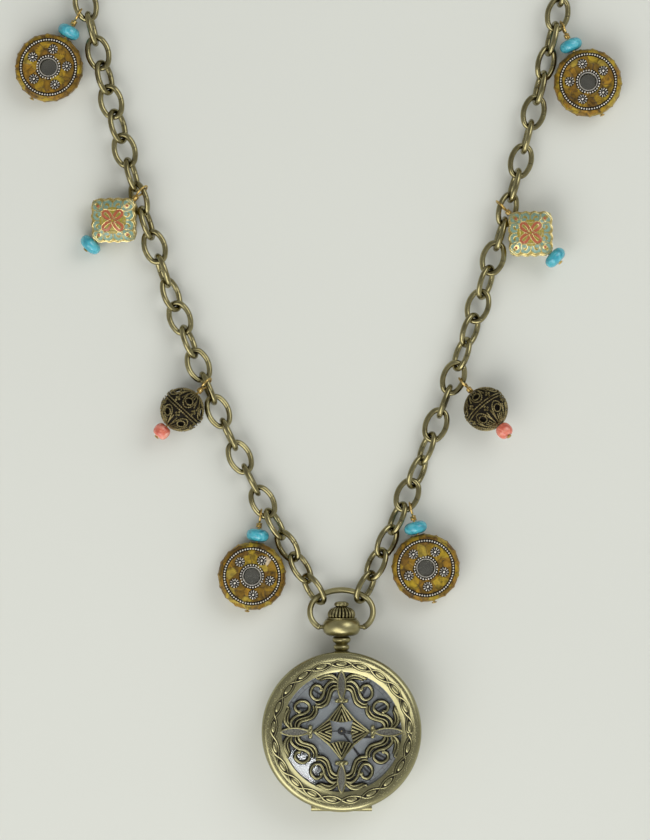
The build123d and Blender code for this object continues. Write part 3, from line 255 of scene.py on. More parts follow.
class Finish:
    # one procedural material, with short names for the nodes it uses
    def __init__(self, name):
        self.material = bpy.data.materials.new(name)
        self.material.use_nodes = True
        self.tree = self.material.node_tree
        self.tree.nodes.clear()
        self.output = self.tree.nodes.new("ShaderNodeOutputMaterial")
        self.shader = self.tree.nodes.new("ShaderNodeBsdfPrincipled")
        self.link(self.shader.outputs["BSDF"], self.output.inputs["Surface"])
        self.spot = self.tree.nodes.new("ShaderNodeTexCoord").outputs["Object"]

    def link(self, source, target):
        self.tree.links.new(source, target)

    def noise(self, scale, detail=2.0, distortion=0.0):
        node = self.tree.nodes.new("ShaderNodeTexNoise")
        node.inputs["Scale"].default_value = scale
        node.inputs["Detail"].default_value = detail
        node.inputs["Distortion"].default_value = distortion
        self.link(self.spot, node.inputs["Vector"])
        return node.outputs["Fac"]

    def ramp(self, value, stops):
        node = self.tree.nodes.new("ShaderNodeValToRGB")
        node.color_ramp.elements[0].position = stops[0][0]
        node.color_ramp.elements[0].color = (*stops[0][1], 1)
        node.color_ramp.elements[1].position = stops[-1][0]
        node.color_ramp.elements[1].color = (*stops[-1][1], 1)
        for position, colour in stops[1:-1]:
            node.color_ramp.elements.new(position).color = (*colour, 1)
        self.link(value, node.inputs["Fac"])
        return node.outputs["Color"]

    def range(self, value, low, high, fromLow=0.0, fromHigh=1.0):
        node = self.tree.nodes.new("ShaderNodeMapRange")
        node.inputs["From Min"].default_value = fromLow
        node.inputs["From Max"].default_value = fromHigh
        node.inputs["To Min"].default_value = low
        node.inputs["To Max"].default_value = high
        self.link(value, node.inputs["Value"])
        return node.outputs["Result"]

    def blendColours(self, share, first, second, kind="MIX"):
        node = self.tree.nodes.new("ShaderNodeMix")
        node.data_type = "RGBA"
        node.blend_type = kind
        for socket, value in ((node.inputs[0], share), (node.inputs[6], first), (node.inputs[7], second)):
            if isinstance(value, (int, float)):
                socket.default_value = value
            elif isinstance(value, tuple):
                socket.default_value = (*value, 1)
            else:
                self.link(value, socket)
        return node.outputs[2]

    def attribute(self, name, kind):
        node = self.tree.nodes.new("ShaderNodeAttribute")
        node.attribute_name = name
        return node.outputs[kind]

    def bump(self, height, depth, strength=1.0):
        node = self.tree.nodes.new("ShaderNodeBump")
        node.inputs["Strength"].default_value = strength
        node.inputs["Distance"].default_value = depth * mm
        self.link(height, node.inputs["Height"])
        self.link(node.outputs["Normal"], self.shader.inputs["Normal"])

    def colour(self, source):
        self.link(source, self.shader.inputs["Base Color"])

    def rough(self, source):
        self.link(source, self.shader.inputs["Roughness"])

    def set(self, **values):
        names = {"metal": "Metallic", "ior": "IOR", "coat": "Coat Weight", "coatRough": "Coat Roughness",
                 "seeThrough": "Transmission Weight", "specular": "Specular IOR Level",
                 "under": "Subsurface Weight", "underReach": "Subsurface Scale"}
        for key, value in values.items():
            self.shader.inputs[names[key]].default_value = value


# metals: bright and deep tone, dark tone mixed in by the mask of tarnish and painted shade in crevices,
# blotches and grain a metre, roughness from and to, depth of the grain in micrometres
metalLooks = {
    "chainBrass": ((0.35, 0.31, 0.155), (0.23, 0.20, 0.095), (0.03, 0.022, 0.01), 260, 2600, 0.13, 0.25, 1.5),
    "coverBrass": ((0.355, 0.33, 0.178), (0.29, 0.268, 0.14), (0.03, 0.025, 0.014), 90, 3000, 0.2, 0.28, 0.6),
    "caseBrass": ((0.37, 0.34, 0.175), (0.29, 0.26, 0.13), (0.035, 0.027, 0.013), 100, 2400, 0.22, 0.32, 0.8),
    "bossBrass": ((0.42, 0.38, 0.195), (0.32, 0.28, 0.13), (0.025, 0.017, 0.007), 200, 2200, 0.3, 0.37, 2),
    "pinGold": ((0.66, 0.48, 0.18), (0.48, 0.32, 0.09), (0.12, 0.06, 0.015), 500, 4000, 0.16, 0.3, 3),
    "wireGold": ((0.80, 0.68, 0.34), (0.60, 0.48, 0.20), (0.16, 0.09, 0.02), 600, 4000, 0.2, 0.36, 3),
    "granuleSilver": ((0.88, 0.85, 0.78), (0.66, 0.62, 0.54), (0.03, 0.024, 0.018), 900, 4000, 0.24, 0.4, 3),
    "inlayMetal": ((0.20, 0.195, 0.165), (0.17, 0.165, 0.14), (0.15, 0.145, 0.12), 200, 3000, 0.2, 0.26, 0.1),
    "filigreeMetal": ((0.41, 0.34, 0.155), (0.13, 0.10, 0.04), (0.006, 0.005, 0.003), 700, 3000, 0.2, 0.4, 5),
    "springSteel": ((0.55, 0.55, 0.54), (0.42, 0.42, 0.42), (0.1, 0.1, 0.1), 300, 5000, 0.22, 0.4, 3),
    "plateBrass": ((0.66, 0.49, 0.22), (0.56, 0.40, 0.17), (0.1, 0.07, 0.03), 300, 5000, 0.25, 0.4, 3),
    "canSteel": ((0.68, 0.68, 0.66), (0.56, 0.56, 0.55), (0.1, 0.1, 0.1), 200, 6000, 0.18, 0.32, 3),
}


def metalFinish(name, bright, deep, soilShadeTone, blotch, grain, smooth, dull, depth):
    finish = Finish(name)
    tone = finish.ramp(finish.noise(blotch, 4, 0.6), [(0.36, deep), (0.62, bright)])
    # the per-point mask mixes in the dark tone: tarnish, and painted shade in crevices
    finish.colour(finish.blendColours(finish.attribute("soilAndShade", "Fac"), tone, soilShadeTone))
    fine = finish.noise(grain, 3)
    finish.rough(finish.range(fine, smooth, dull, 0.3, 0.7))
    finish.bump(fine, depth / 1000)
    finish.set(metal=1.0)
    return finish.material


finishes = {name: metalFinish(name, *look) for name, look in metalLooks.items()}

stoneLooks = {
    "turquoise": {"stops": [(0.32, (0.035, 0.27, 0.36)), (0.5, (0.055, 0.40, 0.50)),
                            (0.68, (0.15, 0.56, 0.64))],
                  "size": 420, "smooth": 0.12, "dull": 0.28},
    "coral": {"stops": [(0.34, (0.56, 0.10, 0.06)), (0.5, (0.74, 0.20, 0.13)), (0.7, (0.86, 0.42, 0.32))],
              "size": 360, "smooth": 0.16, "dull": 0.34},
}


def stoneFinish(name, look):
    finish = Finish(name)
    cloud = finish.noise(look["size"], 4, 1.2)
    finish.colour(finish.ramp(cloud, look["stops"]))
    fine = finish.noise(look["size"] * 6, 2)
    finish.rough(finish.range(fine, look["smooth"], look["dull"]))
    finish.bump(fine, 0.01)
    finish.set(coat=0.35, coatRough=0.08, under=0.12, underReach=0.6 * mm)
    return finish.material


for stoneName, stoneLook in stoneLooks.items():
    finishes[stoneName] = stoneFinish(stoneName, stoneLook)


def chipFinish(name, size, smooth, dull, coat, streak, specular=0.5):
    # glassy chips or enamel, coloured from the tint of each point
    finish = Finish(name)
    tint = finish.attribute("tint", "Color")
    streaks = finish.ramp(finish.noise(size, 4, 1.5), [(0.3, (streak,) * 3), (0.65, (1.0, 1.0, 1.0))])
    body = finish.blendColours(1.0, tint, streaks, "MULTIPLY")
    finish.colour(finish.blendColours(finish.attribute("soilAndShade", "Fac"), body, (0.03, 0.018, 0.008)))
    fine = finish.noise(size * 4, 3)
    finish.rough(finish.range(fine, smooth, dull))
    finish.bump(fine, 0.02)
    finish.set(coat=coat, coatRough=0.12, specular=specular)
    return finish.material


finishes["amberChips"] = chipFinish("amberChips", 380, 0.36, 0.6, 0.06, 0.22, 0.25)
finishes["enamel"] = chipFinish("enamel", 1400, 0.2, 0.42, 0.3, 0.75)


def paintFinish(name, dark, light, size, smooth, dull, depth=0.004, metal=0.0, specular=0.5):
    finish = Finish(name)
    finish.colour(finish.ramp(finish.noise(size, 3), [(0.3, dark), (0.7, light)]))
    fine = finish.noise(size * 9, 2)
    finish.rough(finish.range(fine, smooth, dull))
    finish.bump(fine, depth)
    finish.set(metal=metal, specular=specular)
    return finish.material


# paints, plastics and plated faces: dark and light tone, clouding a metre, roughness from and to
paintLooks = {
    "dialSilver": {"dark": (0.42, 0.445, 0.455), "light": (0.50, 0.53, 0.54),
                   "size": 60, "smooth": 0.2, "dull": 0.26, "depth": 0.0006, "metal": 0.6},
    # near-black finish: painted shade under and between the metalwork, and dark oxide
    "darkOxideAndShade": {"dark": (0.010, 0.008, 0.005), "light": (0.020, 0.016, 0.010),
                   "size": 500, "smooth": 0.7, "dull": 0.9, "specular": 0.15},
    "dialInk": {"dark": (0.006, 0.006, 0.007), "light": (0.016, 0.015, 0.014),
                "size": 900, "smooth": 0.3, "dull": 0.5},
    "handLacquer": {"dark": (0.008, 0.008, 0.009), "light": (0.02, 0.019, 0.018),
                    "size": 900, "smooth": 0.16, "dull": 0.3},
    "holderPlastic": {"dark": (0.58, 0.57, 0.52), "light": (0.68, 0.67, 0.62),
                      "size": 300, "smooth": 0.4, "dull": 0.6},
    "coilCopper": {"dark": (0.42, 0.13, 0.04), "light": (0.62, 0.22, 0.08),
                   "size": 1800, "smooth": 0.25, "dull": 0.45, "metal": 0.8},
    "magnetGrey": {"dark": (0.05, 0.05, 0.055), "light": (0.08, 0.08, 0.085),
                   "size": 900, "smooth": 0.35, "dull": 0.55, "metal": 0.4},
    "boardGreen": {"dark": (0.01, 0.07, 0.035), "light": (0.018, 0.11, 0.05),
                   "size": 700, "smooth": 0.25, "dull": 0.4},
}
for paintName, paintLook in paintLooks.items():
    finishes[paintName] = paintFinish(paintName, **paintLook)


def glassFinish():
    finish = Finish("watchGlass")
    finish.colour(finish.ramp(finish.noise(60, 2), [(0.3, (0.96, 0.98, 0.98)), (0.7, (1.0, 1.0, 1.0))]))
    finish.rough(finish.range(finish.noise(60, 2), 0.03, 0.04))
    finish.set(seeThrough=1.0, ior=1.46)
    return finish.material


finishes["watchGlass"] = glassFinish()

# CAD nodes that keep their own shape, and the finish each one gets
keptNodes = {
    "case_middle": "caseBrass", "case_back": "caseBrass", "cover_hinge_pin": "caseBrass",
    "cover_catch": "springSteel", "winding_stem": "springSteel",
    "dial": "dialSilver", "hour_hand": "handLacquer", "minute_hand": "handLacquer",
    "second_hand": "handLacquer", "movement_holder": "holderPlastic", "main_plate": "plateBrass",
    "train_bridge": "canSteel", "bridge_screws": "springSteel", "battery": "canSteel", "coil": "coilCopper",
    "stator": "canSteel", "rotor": "magnetGrey", "intermediate_wheel": "plateBrass",
    "seconds_wheel": "plateBrass", "third_wheel": "plateBrass", "centre_wheel": "plateBrass",
    "minute_wheel": "plateBrass", "hour_wheel": "plateBrass", "circuit_board": "boardGreen",
    "clasp_body": "chainBrass", "clasp_lever": "chainBrass",
}
for nodeName, finishName in keptNodes.items():
    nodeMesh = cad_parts[nodeName].data
    nodeMesh.materials.clear()
    nodeMesh.materials.append(finishes[finishName])
print("finishes ready")


# Camera, floor and lamps

studio = {
    "pictureCentre": (-4.76, 89.6), "pictureHeight": 242.4, "cameraHeight": 1500.0, "sharpLevel": 6.0,
    "sensor": 36, "nearClip": 0.05, "farClip": 20, "floorTone": (0.70, 0.71, 0.652), "floorShade": 0.985,
    "floorSize": 5000.0, "skyTop": (0.66, 0.665, 0.67), "skyTopAt": 0.85, "skySide": (0.84, 0.85, 0.83),
    "skySideAt": 0.1, "skyFront": 1.2, "skyAcross": 0.52, "skyBehind": 0.5,
}


def makeCamera():
    camera = bpy.data.objects.new("pictureCamera", bpy.data.cameras.new("pictureCamera"))
    scene.collection.objects.link(camera)
    x, y = studio["pictureCentre"]
    reach = studio["cameraHeight"] - studio["sharpLevel"]
    camera.location = Vector((x, y, studio["cameraHeight"])) * mm
    camera.data.sensor_width = studio["sensor"]
    camera.data.lens = studio["sensor"] * reach / studio["pictureHeight"]
    camera.data.clip_start = studio["nearClip"]
    camera.data.clip_end = studio["farClip"]
    scene.camera = camera


def layFloor():
    half = studio["floorSize"] * mm / 2
    floorMesh = bpy.data.meshes.new("studioFloor")
    corners = [(-half, -half, 0), (half, -half, 0), (half, half, 0), (-half, half, 0)]
    floorMesh.from_pydata(corners, [], [(0, 1, 2, 3)])
    floor = bpy.data.objects.new("studioFloor", floorMesh)
    scene.collection.objects.link(floor)
    paper = Finish("floorPaper")
    tone = studio["floorTone"]
    shade = tuple(part * studio["floorShade"] for part in tone)
    paper.colour(paper.ramp(paper.noise(6, 2), [(0.35, shade), (0.65, tone)]))
    paper.rough(paper.range(paper.noise(400, 2), 0.85, 0.95))
    floorMesh.materials.append(paper.material)


def makeSky():
    world = bpy.data.worlds.new("studioSky")
    scene.world = world
    world.use_nodes = True
    tree = world.node_tree
    tree.nodes.clear()
    output = tree.nodes.new("ShaderNodeOutputWorld")
    glow = tree.nodes.new("ShaderNodeBackground")
    aim = tree.nodes.new("ShaderNodeTexCoord")
    split = tree.nodes.new("ShaderNodeSeparateXYZ")
    # tone by height
    tone = tree.nodes.new("ShaderNodeValToRGB")
    for end, place in enumerate(("skySide", "skyTop")):
        tone.color_ramp.elements[end].color = (*studio[place], 1)
        tone.color_ramp.elements[end].position = studio[place + "At"]
    # brighter towards the foot of the picture than to its sides
    share = tree.nodes.new("ShaderNodeMapRange")
    share.inputs["From Min"].default_value = -1.0
    power = tree.nodes.new("ShaderNodeValToRGB")
    power.color_ramp.elements[0].color = (*[studio["skyFront"]] * 3, 1)
    power.color_ramp.elements[1].color = (*[studio["skyBehind"]] * 3, 1)
    power.color_ramp.elements.new(0.5).color = (*[studio["skyAcross"]] * 3, 1)
    tree.links.new(aim.outputs["Generated"], split.inputs[0])
    tree.links.new(split.outputs["Z"], tone.inputs["Fac"])
    tree.links.new(tone.outputs["Color"], glow.inputs["Color"])
    tree.links.new(split.outputs["Y"], share.inputs["Value"])
    tree.links.new(share.outputs["Result"], power.inputs["Fac"])
    tree.links.new(power.outputs["Color"], glow.inputs["Strength"])
    tree.links.new(glow.outputs[0], output.inputs["Surface"])


# where each soft panel hangs, how wide it is and how strong, in millimetres and watts
lamps = {
    "leftPanel": {"place": (-460, -560, 830), "size": 820, "power": 5.0, "tone": (1.0, 0.99, 0.96)},
    "rightPanel": {"place": (620, 600, 800), "size": 760, "power": 4.2, "tone": (0.98, 0.99, 1.0)},
    "lowPanel": {"place": (40, -830, 560), "size": 420, "power": 1.8, "tone": (1.0, 1.0, 1.0)},
    "dialPanel": {"place": (-44, -98, 900), "size": 34, "power": 0.055, "tone": (0.97, 0.99, 1.0)},
}
lampAim = (0, 60, 0)


def hangLamps():
    target = Vector(lampAim) * mm
    for name, lamp in lamps.items():
        light = bpy.data.lights.new(name, "AREA")
        light.shape = "SQUARE"
        light.size = lamp["size"] * mm
        light.energy = lamp["power"]
        light.color = lamp["tone"]
        obj = bpy.data.objects.new(name, light)
        scene.collection.objects.link(obj)
        obj.location = Vector(lamp["place"]) * mm
        obj.rotation_mode = "QUATERNION"
        obj.rotation_quaternion = (target - obj.location).to_track_quat("-Z", "Y")


makeCamera()
layFloor()
makeSky()
hangLamps()
print("studio ready")


# Front cover: turned ring, braided band, pierced scrolls, ribbed diamonds and bead clasps

cover = {
    "outer": 23.0, "bottom": 9.95, "top": 13.5, "opening": 17.25, "skirtBore": 20.6, "skirtTop": 11.65,
    "workTop": 12.85, "workBottom": 11.8, "windowTip": 5.1, "windowBow": 0.8, "diamondTip": 8.1,
    "clasp": 8.95, "beadGap": 1.36, "spindleStart": 9.5, "spindleWidth": 2.25, "spindleEdge": 0.46,
    "skirt": 0.24, "ribs": 4, "ribWidth": 0.62, "rimWidth": 0.26, "armStep": 0.14,
    "apexes": (0.0, 0.08, 0.28, 0.62),
}
hinge = {"out": 21.9, "level": 9.9, "half": 3.5, "bore": 0.5, "faceRadius": 1.0, "radius": 1.1, "ease": 0.12,
         "webOut": 22.45, "webIn": 20.85, "webBottom": 10.0, "webTop": 11.0,
         "tabRadius": 22.78, "tabFrom": -111, "tabTo": -68}
braid = {"radius": 19.6, "sway": 0.98, "drop": 0.3, "strand": 0.19, "outline": 0.2, "rise": 0.13,
         "weave": 0.05, "eyes": 21, "eyeLength": 3.25, "eyeWidth": 1.42, "eyeRise": 0.27, "shadow": 0.5}
crystal = {"reach": 19.35, "bottom": 9.2, "edgeTop": 10.2, "rise": 0.25}
# lines of one eighth of the scrollwork, across and out from the middle
scrollLines = {
    "inner": [(1.4, 14.3), (2.6, 14.55), (3.75, 13.95), (4.75, 12.6), (5.2, 10.9), (6.2, 9.4), (7.7, 9.35),
              (8.75, 10.55), (8.7, 12.1), (7.6, 13.35), (6.2, 13.1), (5.75, 12.1)],
    "middle": [(1.2, 13.2), (2.3, 13.3), (3.4, 12.5), (4.0, 10.9), (4.65, 9.1), (6.2, 8.0), (7.5, 8.15)],
    "outer": [(0.9, 12.45), (2.0, 12.3), (2.95, 11.5), (3.45, 9.9), (4.1, 8.25), (5.45, 7.3), (6.7, 7.15),
              (7.35, 7.35)],
    "leaf": [(1.0, 14.6), (1.9, 15.7), (3.3, 16.35), (4.9, 16.2), (6.75, 15.3), (7.35, 15.75)],
    "spray": [(1.9, 14.9), (3.2, 15.5), (4.7, 15.35), (6.3, 14.7)],
}
scrollWidths = {"inner": 0.68, "middle": 0.46, "outer": 0.68, "leaf": 0.62, "spray": 0.42}
scrollDrops = {"inner": 0.0, "middle": 0.12, "outer": 0.0, "leaf": 0.0, "spray": 0.12}


# the sides and widened foot of a bar take the dark finish, painted shadow with some oxide; its crowned top
# stays brass
barShadedSides = [1, 1, 1, 0, 0, 0, 0, 0, 1, 1]


def barSection(width, bottom, top, crown=0.2, skirt=0.0):
    half = width / 2
    foot, shoulder = half + skirt, top - crown * 0.35
    return [(-foot, bottom), (foot, bottom), (foot, bottom + 0.2), (half, top - crown),
            (half * 0.75, shoulder), (half * 0.3, top), (-half * 0.3, top), (-half * 0.75, shoulder),
            (-half, top - crown), (-foot, bottom + 0.2)]


def mirrored(turn, flip):
    # turned about the middle, and mirrored first where flip is set
    return turned(turn) @ Matrix.Diagonal((-1 if flip else 1, 1, 1, 1))


def addBar(piece, line, width, bottom, top, turn=0, flip=False, widths=None, skirt=0.0):
    shape = sweep(line, barSection(width, bottom, top, skirt=skirt), lift=upward, widths=widths)
    piece.add(shape, barShadedSides * (len(line) - 1) + [1, 1], mirrored(turn, flip))


def coverRing():
    piece = Piece("coverRing")
    low, high, bore = cover["bottom"], cover["top"], cover["skirtBore"]
    under = roundProfile([(22.35, low), (22.8, low + 0.18), (22.98, low + 0.8), (cover["outer"], low + 1.7),
                          (22.9, low + 2.55), (22.5, low + 3.15), (21.9, high - 0.08), (21.3, high)], 5)
    step = [(21.05, high - 0.02), (20.85, high - 0.08), (20.6, high - 0.2), (20.3, high - 0.28),
            (19.6, high - 0.3), (18.6, high - 0.32), (18.4, high - 0.36), (17.95, high - 0.51),
            (17.5, high - 0.68), (cover["opening"], high - 0.8)]
    inner = [(cover["opening"], cover["skirtTop"] + 0.05), (17.35, cover["skirtTop"]),
             (bore, cover["skirtTop"]), (bore, low)]
    profile = under + step + inner
    # painted shade under the inner lip and inside the skirt of the cover
    soilAndShade = []
    for _ in range(360):
        for radius, height in profile:
            soilAndShade.append(0.75 if height < cover["skirtTop"] + 0.2 and radius < bore + 0.1 else 0.0)
    piece.add(lathe(profile, 360, looped=True), soilAndShade=soilAndShade)
    # middle knuckle of the hinge, with the web that joins it to the ring
    knuckle = Matrix.Translation((0, -hinge["out"], hinge["level"])) @ turned(90, "Y")
    bore, face, radius, half = hinge["bore"], hinge["faceRadius"], hinge["radius"], hinge["half"]
    edge = half - hinge["ease"]
    barrel = [(bore, -half), (face, -half), (radius, -edge), (radius, edge), (face, half), (bore, half)]
    piece.add(lathe(barrel, 40, looped=True), place=knuckle)
    web = [(-half, -hinge["webOut"]), (half, -hinge["webOut"]), (half, -hinge["webIn"]),
           (-half, -hinge["webIn"])]
    piece.add(slab(web, hinge["webBottom"], hinge["webTop"]))
    piece.make(["coverBrass"], "cover", "cover_gold", ["front_cover"])


def hingeTab():
    # lip over the hinge, where the case and cover meet at the foot of the watch
    piece = Piece("hingeTab")
    line = [onCircle(hinge["tabRadius"], angle) for angle in range(hinge["tabFrom"], hinge["tabTo"])]
    section = [(-0.3, 10.6), (0.12, 10.5), (0.3, 10.9), (0.3, 12.0), (0.1, 12.35), (-0.3, 12.3)]
    piece.add(sweep(line, section, lift=upward))
    piece.make(["coverBrass"], "cover", "cover_gold")


def eyeOutline(half, width, steps=14, point=1.35):
    upper = [(half * cos(pi * n / steps), width / 2 * sin(pi * n / steps) ** point)
             for n in range(steps + 1)]
    return upper + [(x, -y) for x, y in reversed(upper[1:-1])]


def layStrand(piece, floor, side):
    # one of the two crossing strands, with a painted shadow outline on the floor of the band
    steps = braid["eyes"] * 16
    strand, shade = [], []
    for number in range(steps):
        turn = fullTurn * number / steps
        phase = braid["eyes"] / 2 * (turn - pi / 2)
        wave = cos(phase)
        reach = braid["radius"] + side * braid["sway"] * copysign(abs(wave) ** 0.8, wave)
        over = sin(phase) * side
        x, y = reach * cos(turn), reach * sin(turn)
        strand.append(Vector((x, y, floor + braid["rise"] + braid["weave"] * over)))
        shade.append(Vector((x, y, floor + 0.005)))
    section = roundSection(braid["strand"], 8)
    flat = [(a * (1 + braid["outline"] / braid["strand"]), b * 0.16) for a, b in section]
    piece.add(sweep(shade, flat, closed=True, lift=upward), 1)
    piece.add(sweep(strand, section, closed=True, lift=upward))


def eyeShape(rings=4):
    # one raised almond between the strands
    outline = eyeOutline(braid["eyeLength"] / 2, braid["eyeWidth"], point=1.0)
    points = []
    for ring in range(rings + 1):
        turn = ring / rings * pi / 2
        inset = cos(turn)
        for x, y in outline:
            height = braid["eyeRise"] * sin(turn)
            points.append(Vector((x * (0.25 + 0.75 * inset), y * max(inset, 0.05), height)))
    return points, ringFaces(rings, len(outline)) + endCaps(rings, len(outline))


def coverBraid():
    piece = Piece("coverBraid")
    floor, eyes = cover["top"] - braid["drop"], braid["eyes"]
    for side in (-1, 1):
        layStrand(piece, floor, side)
    shadow = eyeOutline(braid["eyeLength"] / 2 + braid["shadow"], braid["eyeWidth"] + braid["shadow"],
                        point=1.1)
    for number in range(eyes):
        place = turned(360 * number / eyes) @ Matrix.Translation((0, braid["radius"], floor))
        piece.add(slab(shadow, -0.05, 0.035), 1, place)
        piece.add(eyeShape(), 0, place)
    piece.make(["coverBrass", "darkOxideAndShade"], "cover", "cover_gold")


def windowEdge(turn, share):
    # point on one bowed side of the middle window, share running from one corner to the next
    start, end = onCircle(cover["windowTip"], turn - 45), onCircle(cover["windowTip"], turn + 45)
    middle = start.lerp(end, share)
    inward = -onCircle(1, turn)
    return middle + inward * cover["windowBow"] * 4 * share * (1 - share)


def coverDiamonds():
    # four fans of ribs between the bead clasps and the middle window
    piece = Piece("coverDiamonds")
    bottom, top = cover["workBottom"] + 0.15, cover["workTop"]
    for turn in range(90, 450, 90):
        tip = onCircle(cover["diamondTip"], turn)
        side = onCircle(0.5, turn - 90)
        # backing plate of the fan, painted shade between the ribs
        outline = [windowEdge(turn, n / 12) for n in range(13)] + [tip - side, tip + side]
        piece.add(slab([(p.x, p.y) for p in outline], bottom, top - 0.55), 1)
        # nested chevrons, their points on the middle line and their arms on the window
        for number in range(cover["ribs"]):
            apex = tip.lerp(windowEdge(turn, 0.5), cover["apexes"][number])
            inset = cover["armStep"] * number
            for share in (inset, 1 - inset):
                foot = windowEdge(turn, share)
                line = flowLine([apex, apex.lerp(foot, 0.5), foot], 5)
                spread = [0.55 + 0.45 * n / (len(line) - 1) for n in range(len(line))]
                addBar(piece, line, cover["ribWidth"], bottom + 0.2, top, widths=spread)
        rim = [windowEdge(turn, n / 16) for n in range(17)]
        addBar(piece, rim, cover["rimWidth"], bottom, top - 0.04)
    piece.make(["coverBrass", "darkOxideAndShade"], "cover", "cover_gold")


def coverScrolls():
    piece = Piece("coverScrolls")
    bottom, top = cover["workBottom"], cover["workTop"]
    knob = [(0.02, bottom), (0.55, bottom), (0.6, top - 0.3), (0.45, top - 0.06), (0.2, top + 0.02),
            (0.02, top + 0.03)]
    knobX, knobY = scrollLines["inner"][-1]
    for turn in range(0, 360, 90):
        for flip in (False, True):
            for name, knots in scrollLines.items():
                line = flowLine(knots, 7)
                count = len(line)
                if name in ("leaf", "spray"):
                    swell = [0.55 + 0.75 * sin(pi * n / (count - 1)) for n in range(count)]
                else:
                    swell = [0.7 + 0.3 * min(1, n / 6) for n in range(count)]
                addBar(piece, line, scrollWidths[name], bottom, top - scrollDrops[name], turn, flip, swell,
                       cover["skirt"])
            piece.add(lathe(knob, 20), 0, mirrored(turn, flip) @ Matrix.Translation((knobX, knobY, 0)))
    piece.make(["coverBrass", "darkOxideAndShade"], "cover", "cover_gold")


def coverSpindles():
    # long pointed petals at the four quarters, with dark inlay and a three-bead clasp at the foot
    piece = Piece("coverSpindles")
    bottom, top = cover["workBottom"], cover["workTop"]
    low, high = cover["spindleStart"], cover["opening"] + 0.25
    middle = (low + high) / 2
    petal = [(-y, middle + x) for x, y in eyeOutline((high - low) / 2, cover["spindleWidth"], 20)]
    border = [Vector((x, y, 0)) for x, y in petal]
    section = barSection(cover["spindleEdge"], bottom, top + 0.1, 0.16, 0.14)
    neck = [(-1.0, 8.3), (1.0, 8.3), (1.15, 8.95), (0.75, 9.9), (-0.75, 9.9), (-1.15, 8.95)]
    bead = [(0.02, 0.62), (0.28, 0.57), (0.48, 0.42), (0.61, 0.2), (0.65, 0), (0.6, -0.25), (0.45, -0.5),
            (0.02, -0.6)]
    for turn in range(0, 360, 90):
        place = turned(turn)
        piece.add(slab(petal, bottom, top - 0.12), 2, place)
        # the border's dark sides and foot are painted shadow with some oxide
        piece.add(sweep(border, section, closed=True, lift=upward), barShadedSides * len(petal), place)
        piece.add(slab(neck, bottom, top - 0.02, 0.1), 0, place)
        for side in (-1, 0, 1):
            centre = Vector((side * cover["beadGap"], cover["clasp"], top - 0.02))
            piece.add(lathe(bead, 24), 0, place @ Matrix.Translation(centre))
    piece.make(["coverBrass", "darkOxideAndShade", "inlayMetal"], "cover", "cover_gold")


def crystalDome():
    # thin mineral crystal, a little domed
    piece = Piece("crystalDome")
    reach, low, high, rise = crystal["reach"], crystal["bottom"], crystal["edgeTop"], crystal["rise"]
    dome = [(reach * n / 24, high + rise * (1 - (n / 24) ** 2)) for n in range(24, 0, -1)]
    piece.add(lathe([(0.02, low), (reach, low)] + dome + [(0.02, high + rise)], 144))
    piece.make(["watchGlass"], "case", "crystal", ["crystal"])


coverRing()
crystalDome()
hingeTab()
coverBraid()
coverDiamonds()
coverScrolls()
coverSpindles()
print("cover ready")


# Dial print: minute track, numerals and a fine ring

dialPrint = {"level": 7.812, "thick": 0.02, "trackInner": 15.75, "trackOuter": 16.7, "fiveReach": 0.25,
             "tick": 0.12, "fiveTick": 0.28, "innerRings": (10.2, 9.8), "line": 0.05,
             "numeralRadius": 13.1, "numeralHeight": 3.5, "stroke": 0.62, "hair": 0.2,
             "letterWidth": 0.52, "letterGap": 0.42, "serif": 0.28, "serifStroke": 0.14, "serifInset": 0.06}
numerals = ["XII", "I", "II", "III", "IIII", "V", "VI", "VII", "VIII", "IX", "X", "XI"]


def strokeShape(start, end, width):
    a, b = Vector((*start, 0)), Vector((*end, 0))
    side = Vector((-(b - a).y, (b - a).x, 0)).normalized() * width / 2
    outline = [(p.x, p.y) for p in (a - side, b - side, b + side, a + side)]
    return slab(outline, dialPrint["level"], dialPrint["level"] + dialPrint["thick"])


def numeralStrokes(word):
    # strokes of one numeral standing on the origin, with small serifs
    height, thick, hair = dialPrint["numeralHeight"], dialPrint["stroke"], dialPrint["hair"]
    gap, serif, inset = dialPrint["letterGap"], dialPrint["serif"], dialPrint["serifInset"]
    strokes = []
    x = 0.0
    for letter in word:
        wide = thick if letter == "I" else height * dialPrint["letterWidth"]
        if letter == "I":
            strokes.append(((x + thick / 2, 0), (x + thick / 2, height), thick))
        elif letter == "V":
            strokes.append(((x, height), (x + wide / 2, 0), thick))
            strokes.append(((x + wide, height), (x + wide / 2, 0), hair))
        else:
            strokes.append(((x, height), (x + wide, 0), thick))
            strokes.append(((x + wide, height), (x, 0), hair))
        for y in (inset, height - inset):
            strokes.append(((x - serif, y), (x + wide + serif, y), dialPrint["serifStroke"]))
        x += wide + gap
    middle = (x - gap) / 2
    return [((a[0] - middle, a[1]), (b[0] - middle, b[1]), width) for a, b, width in strokes]


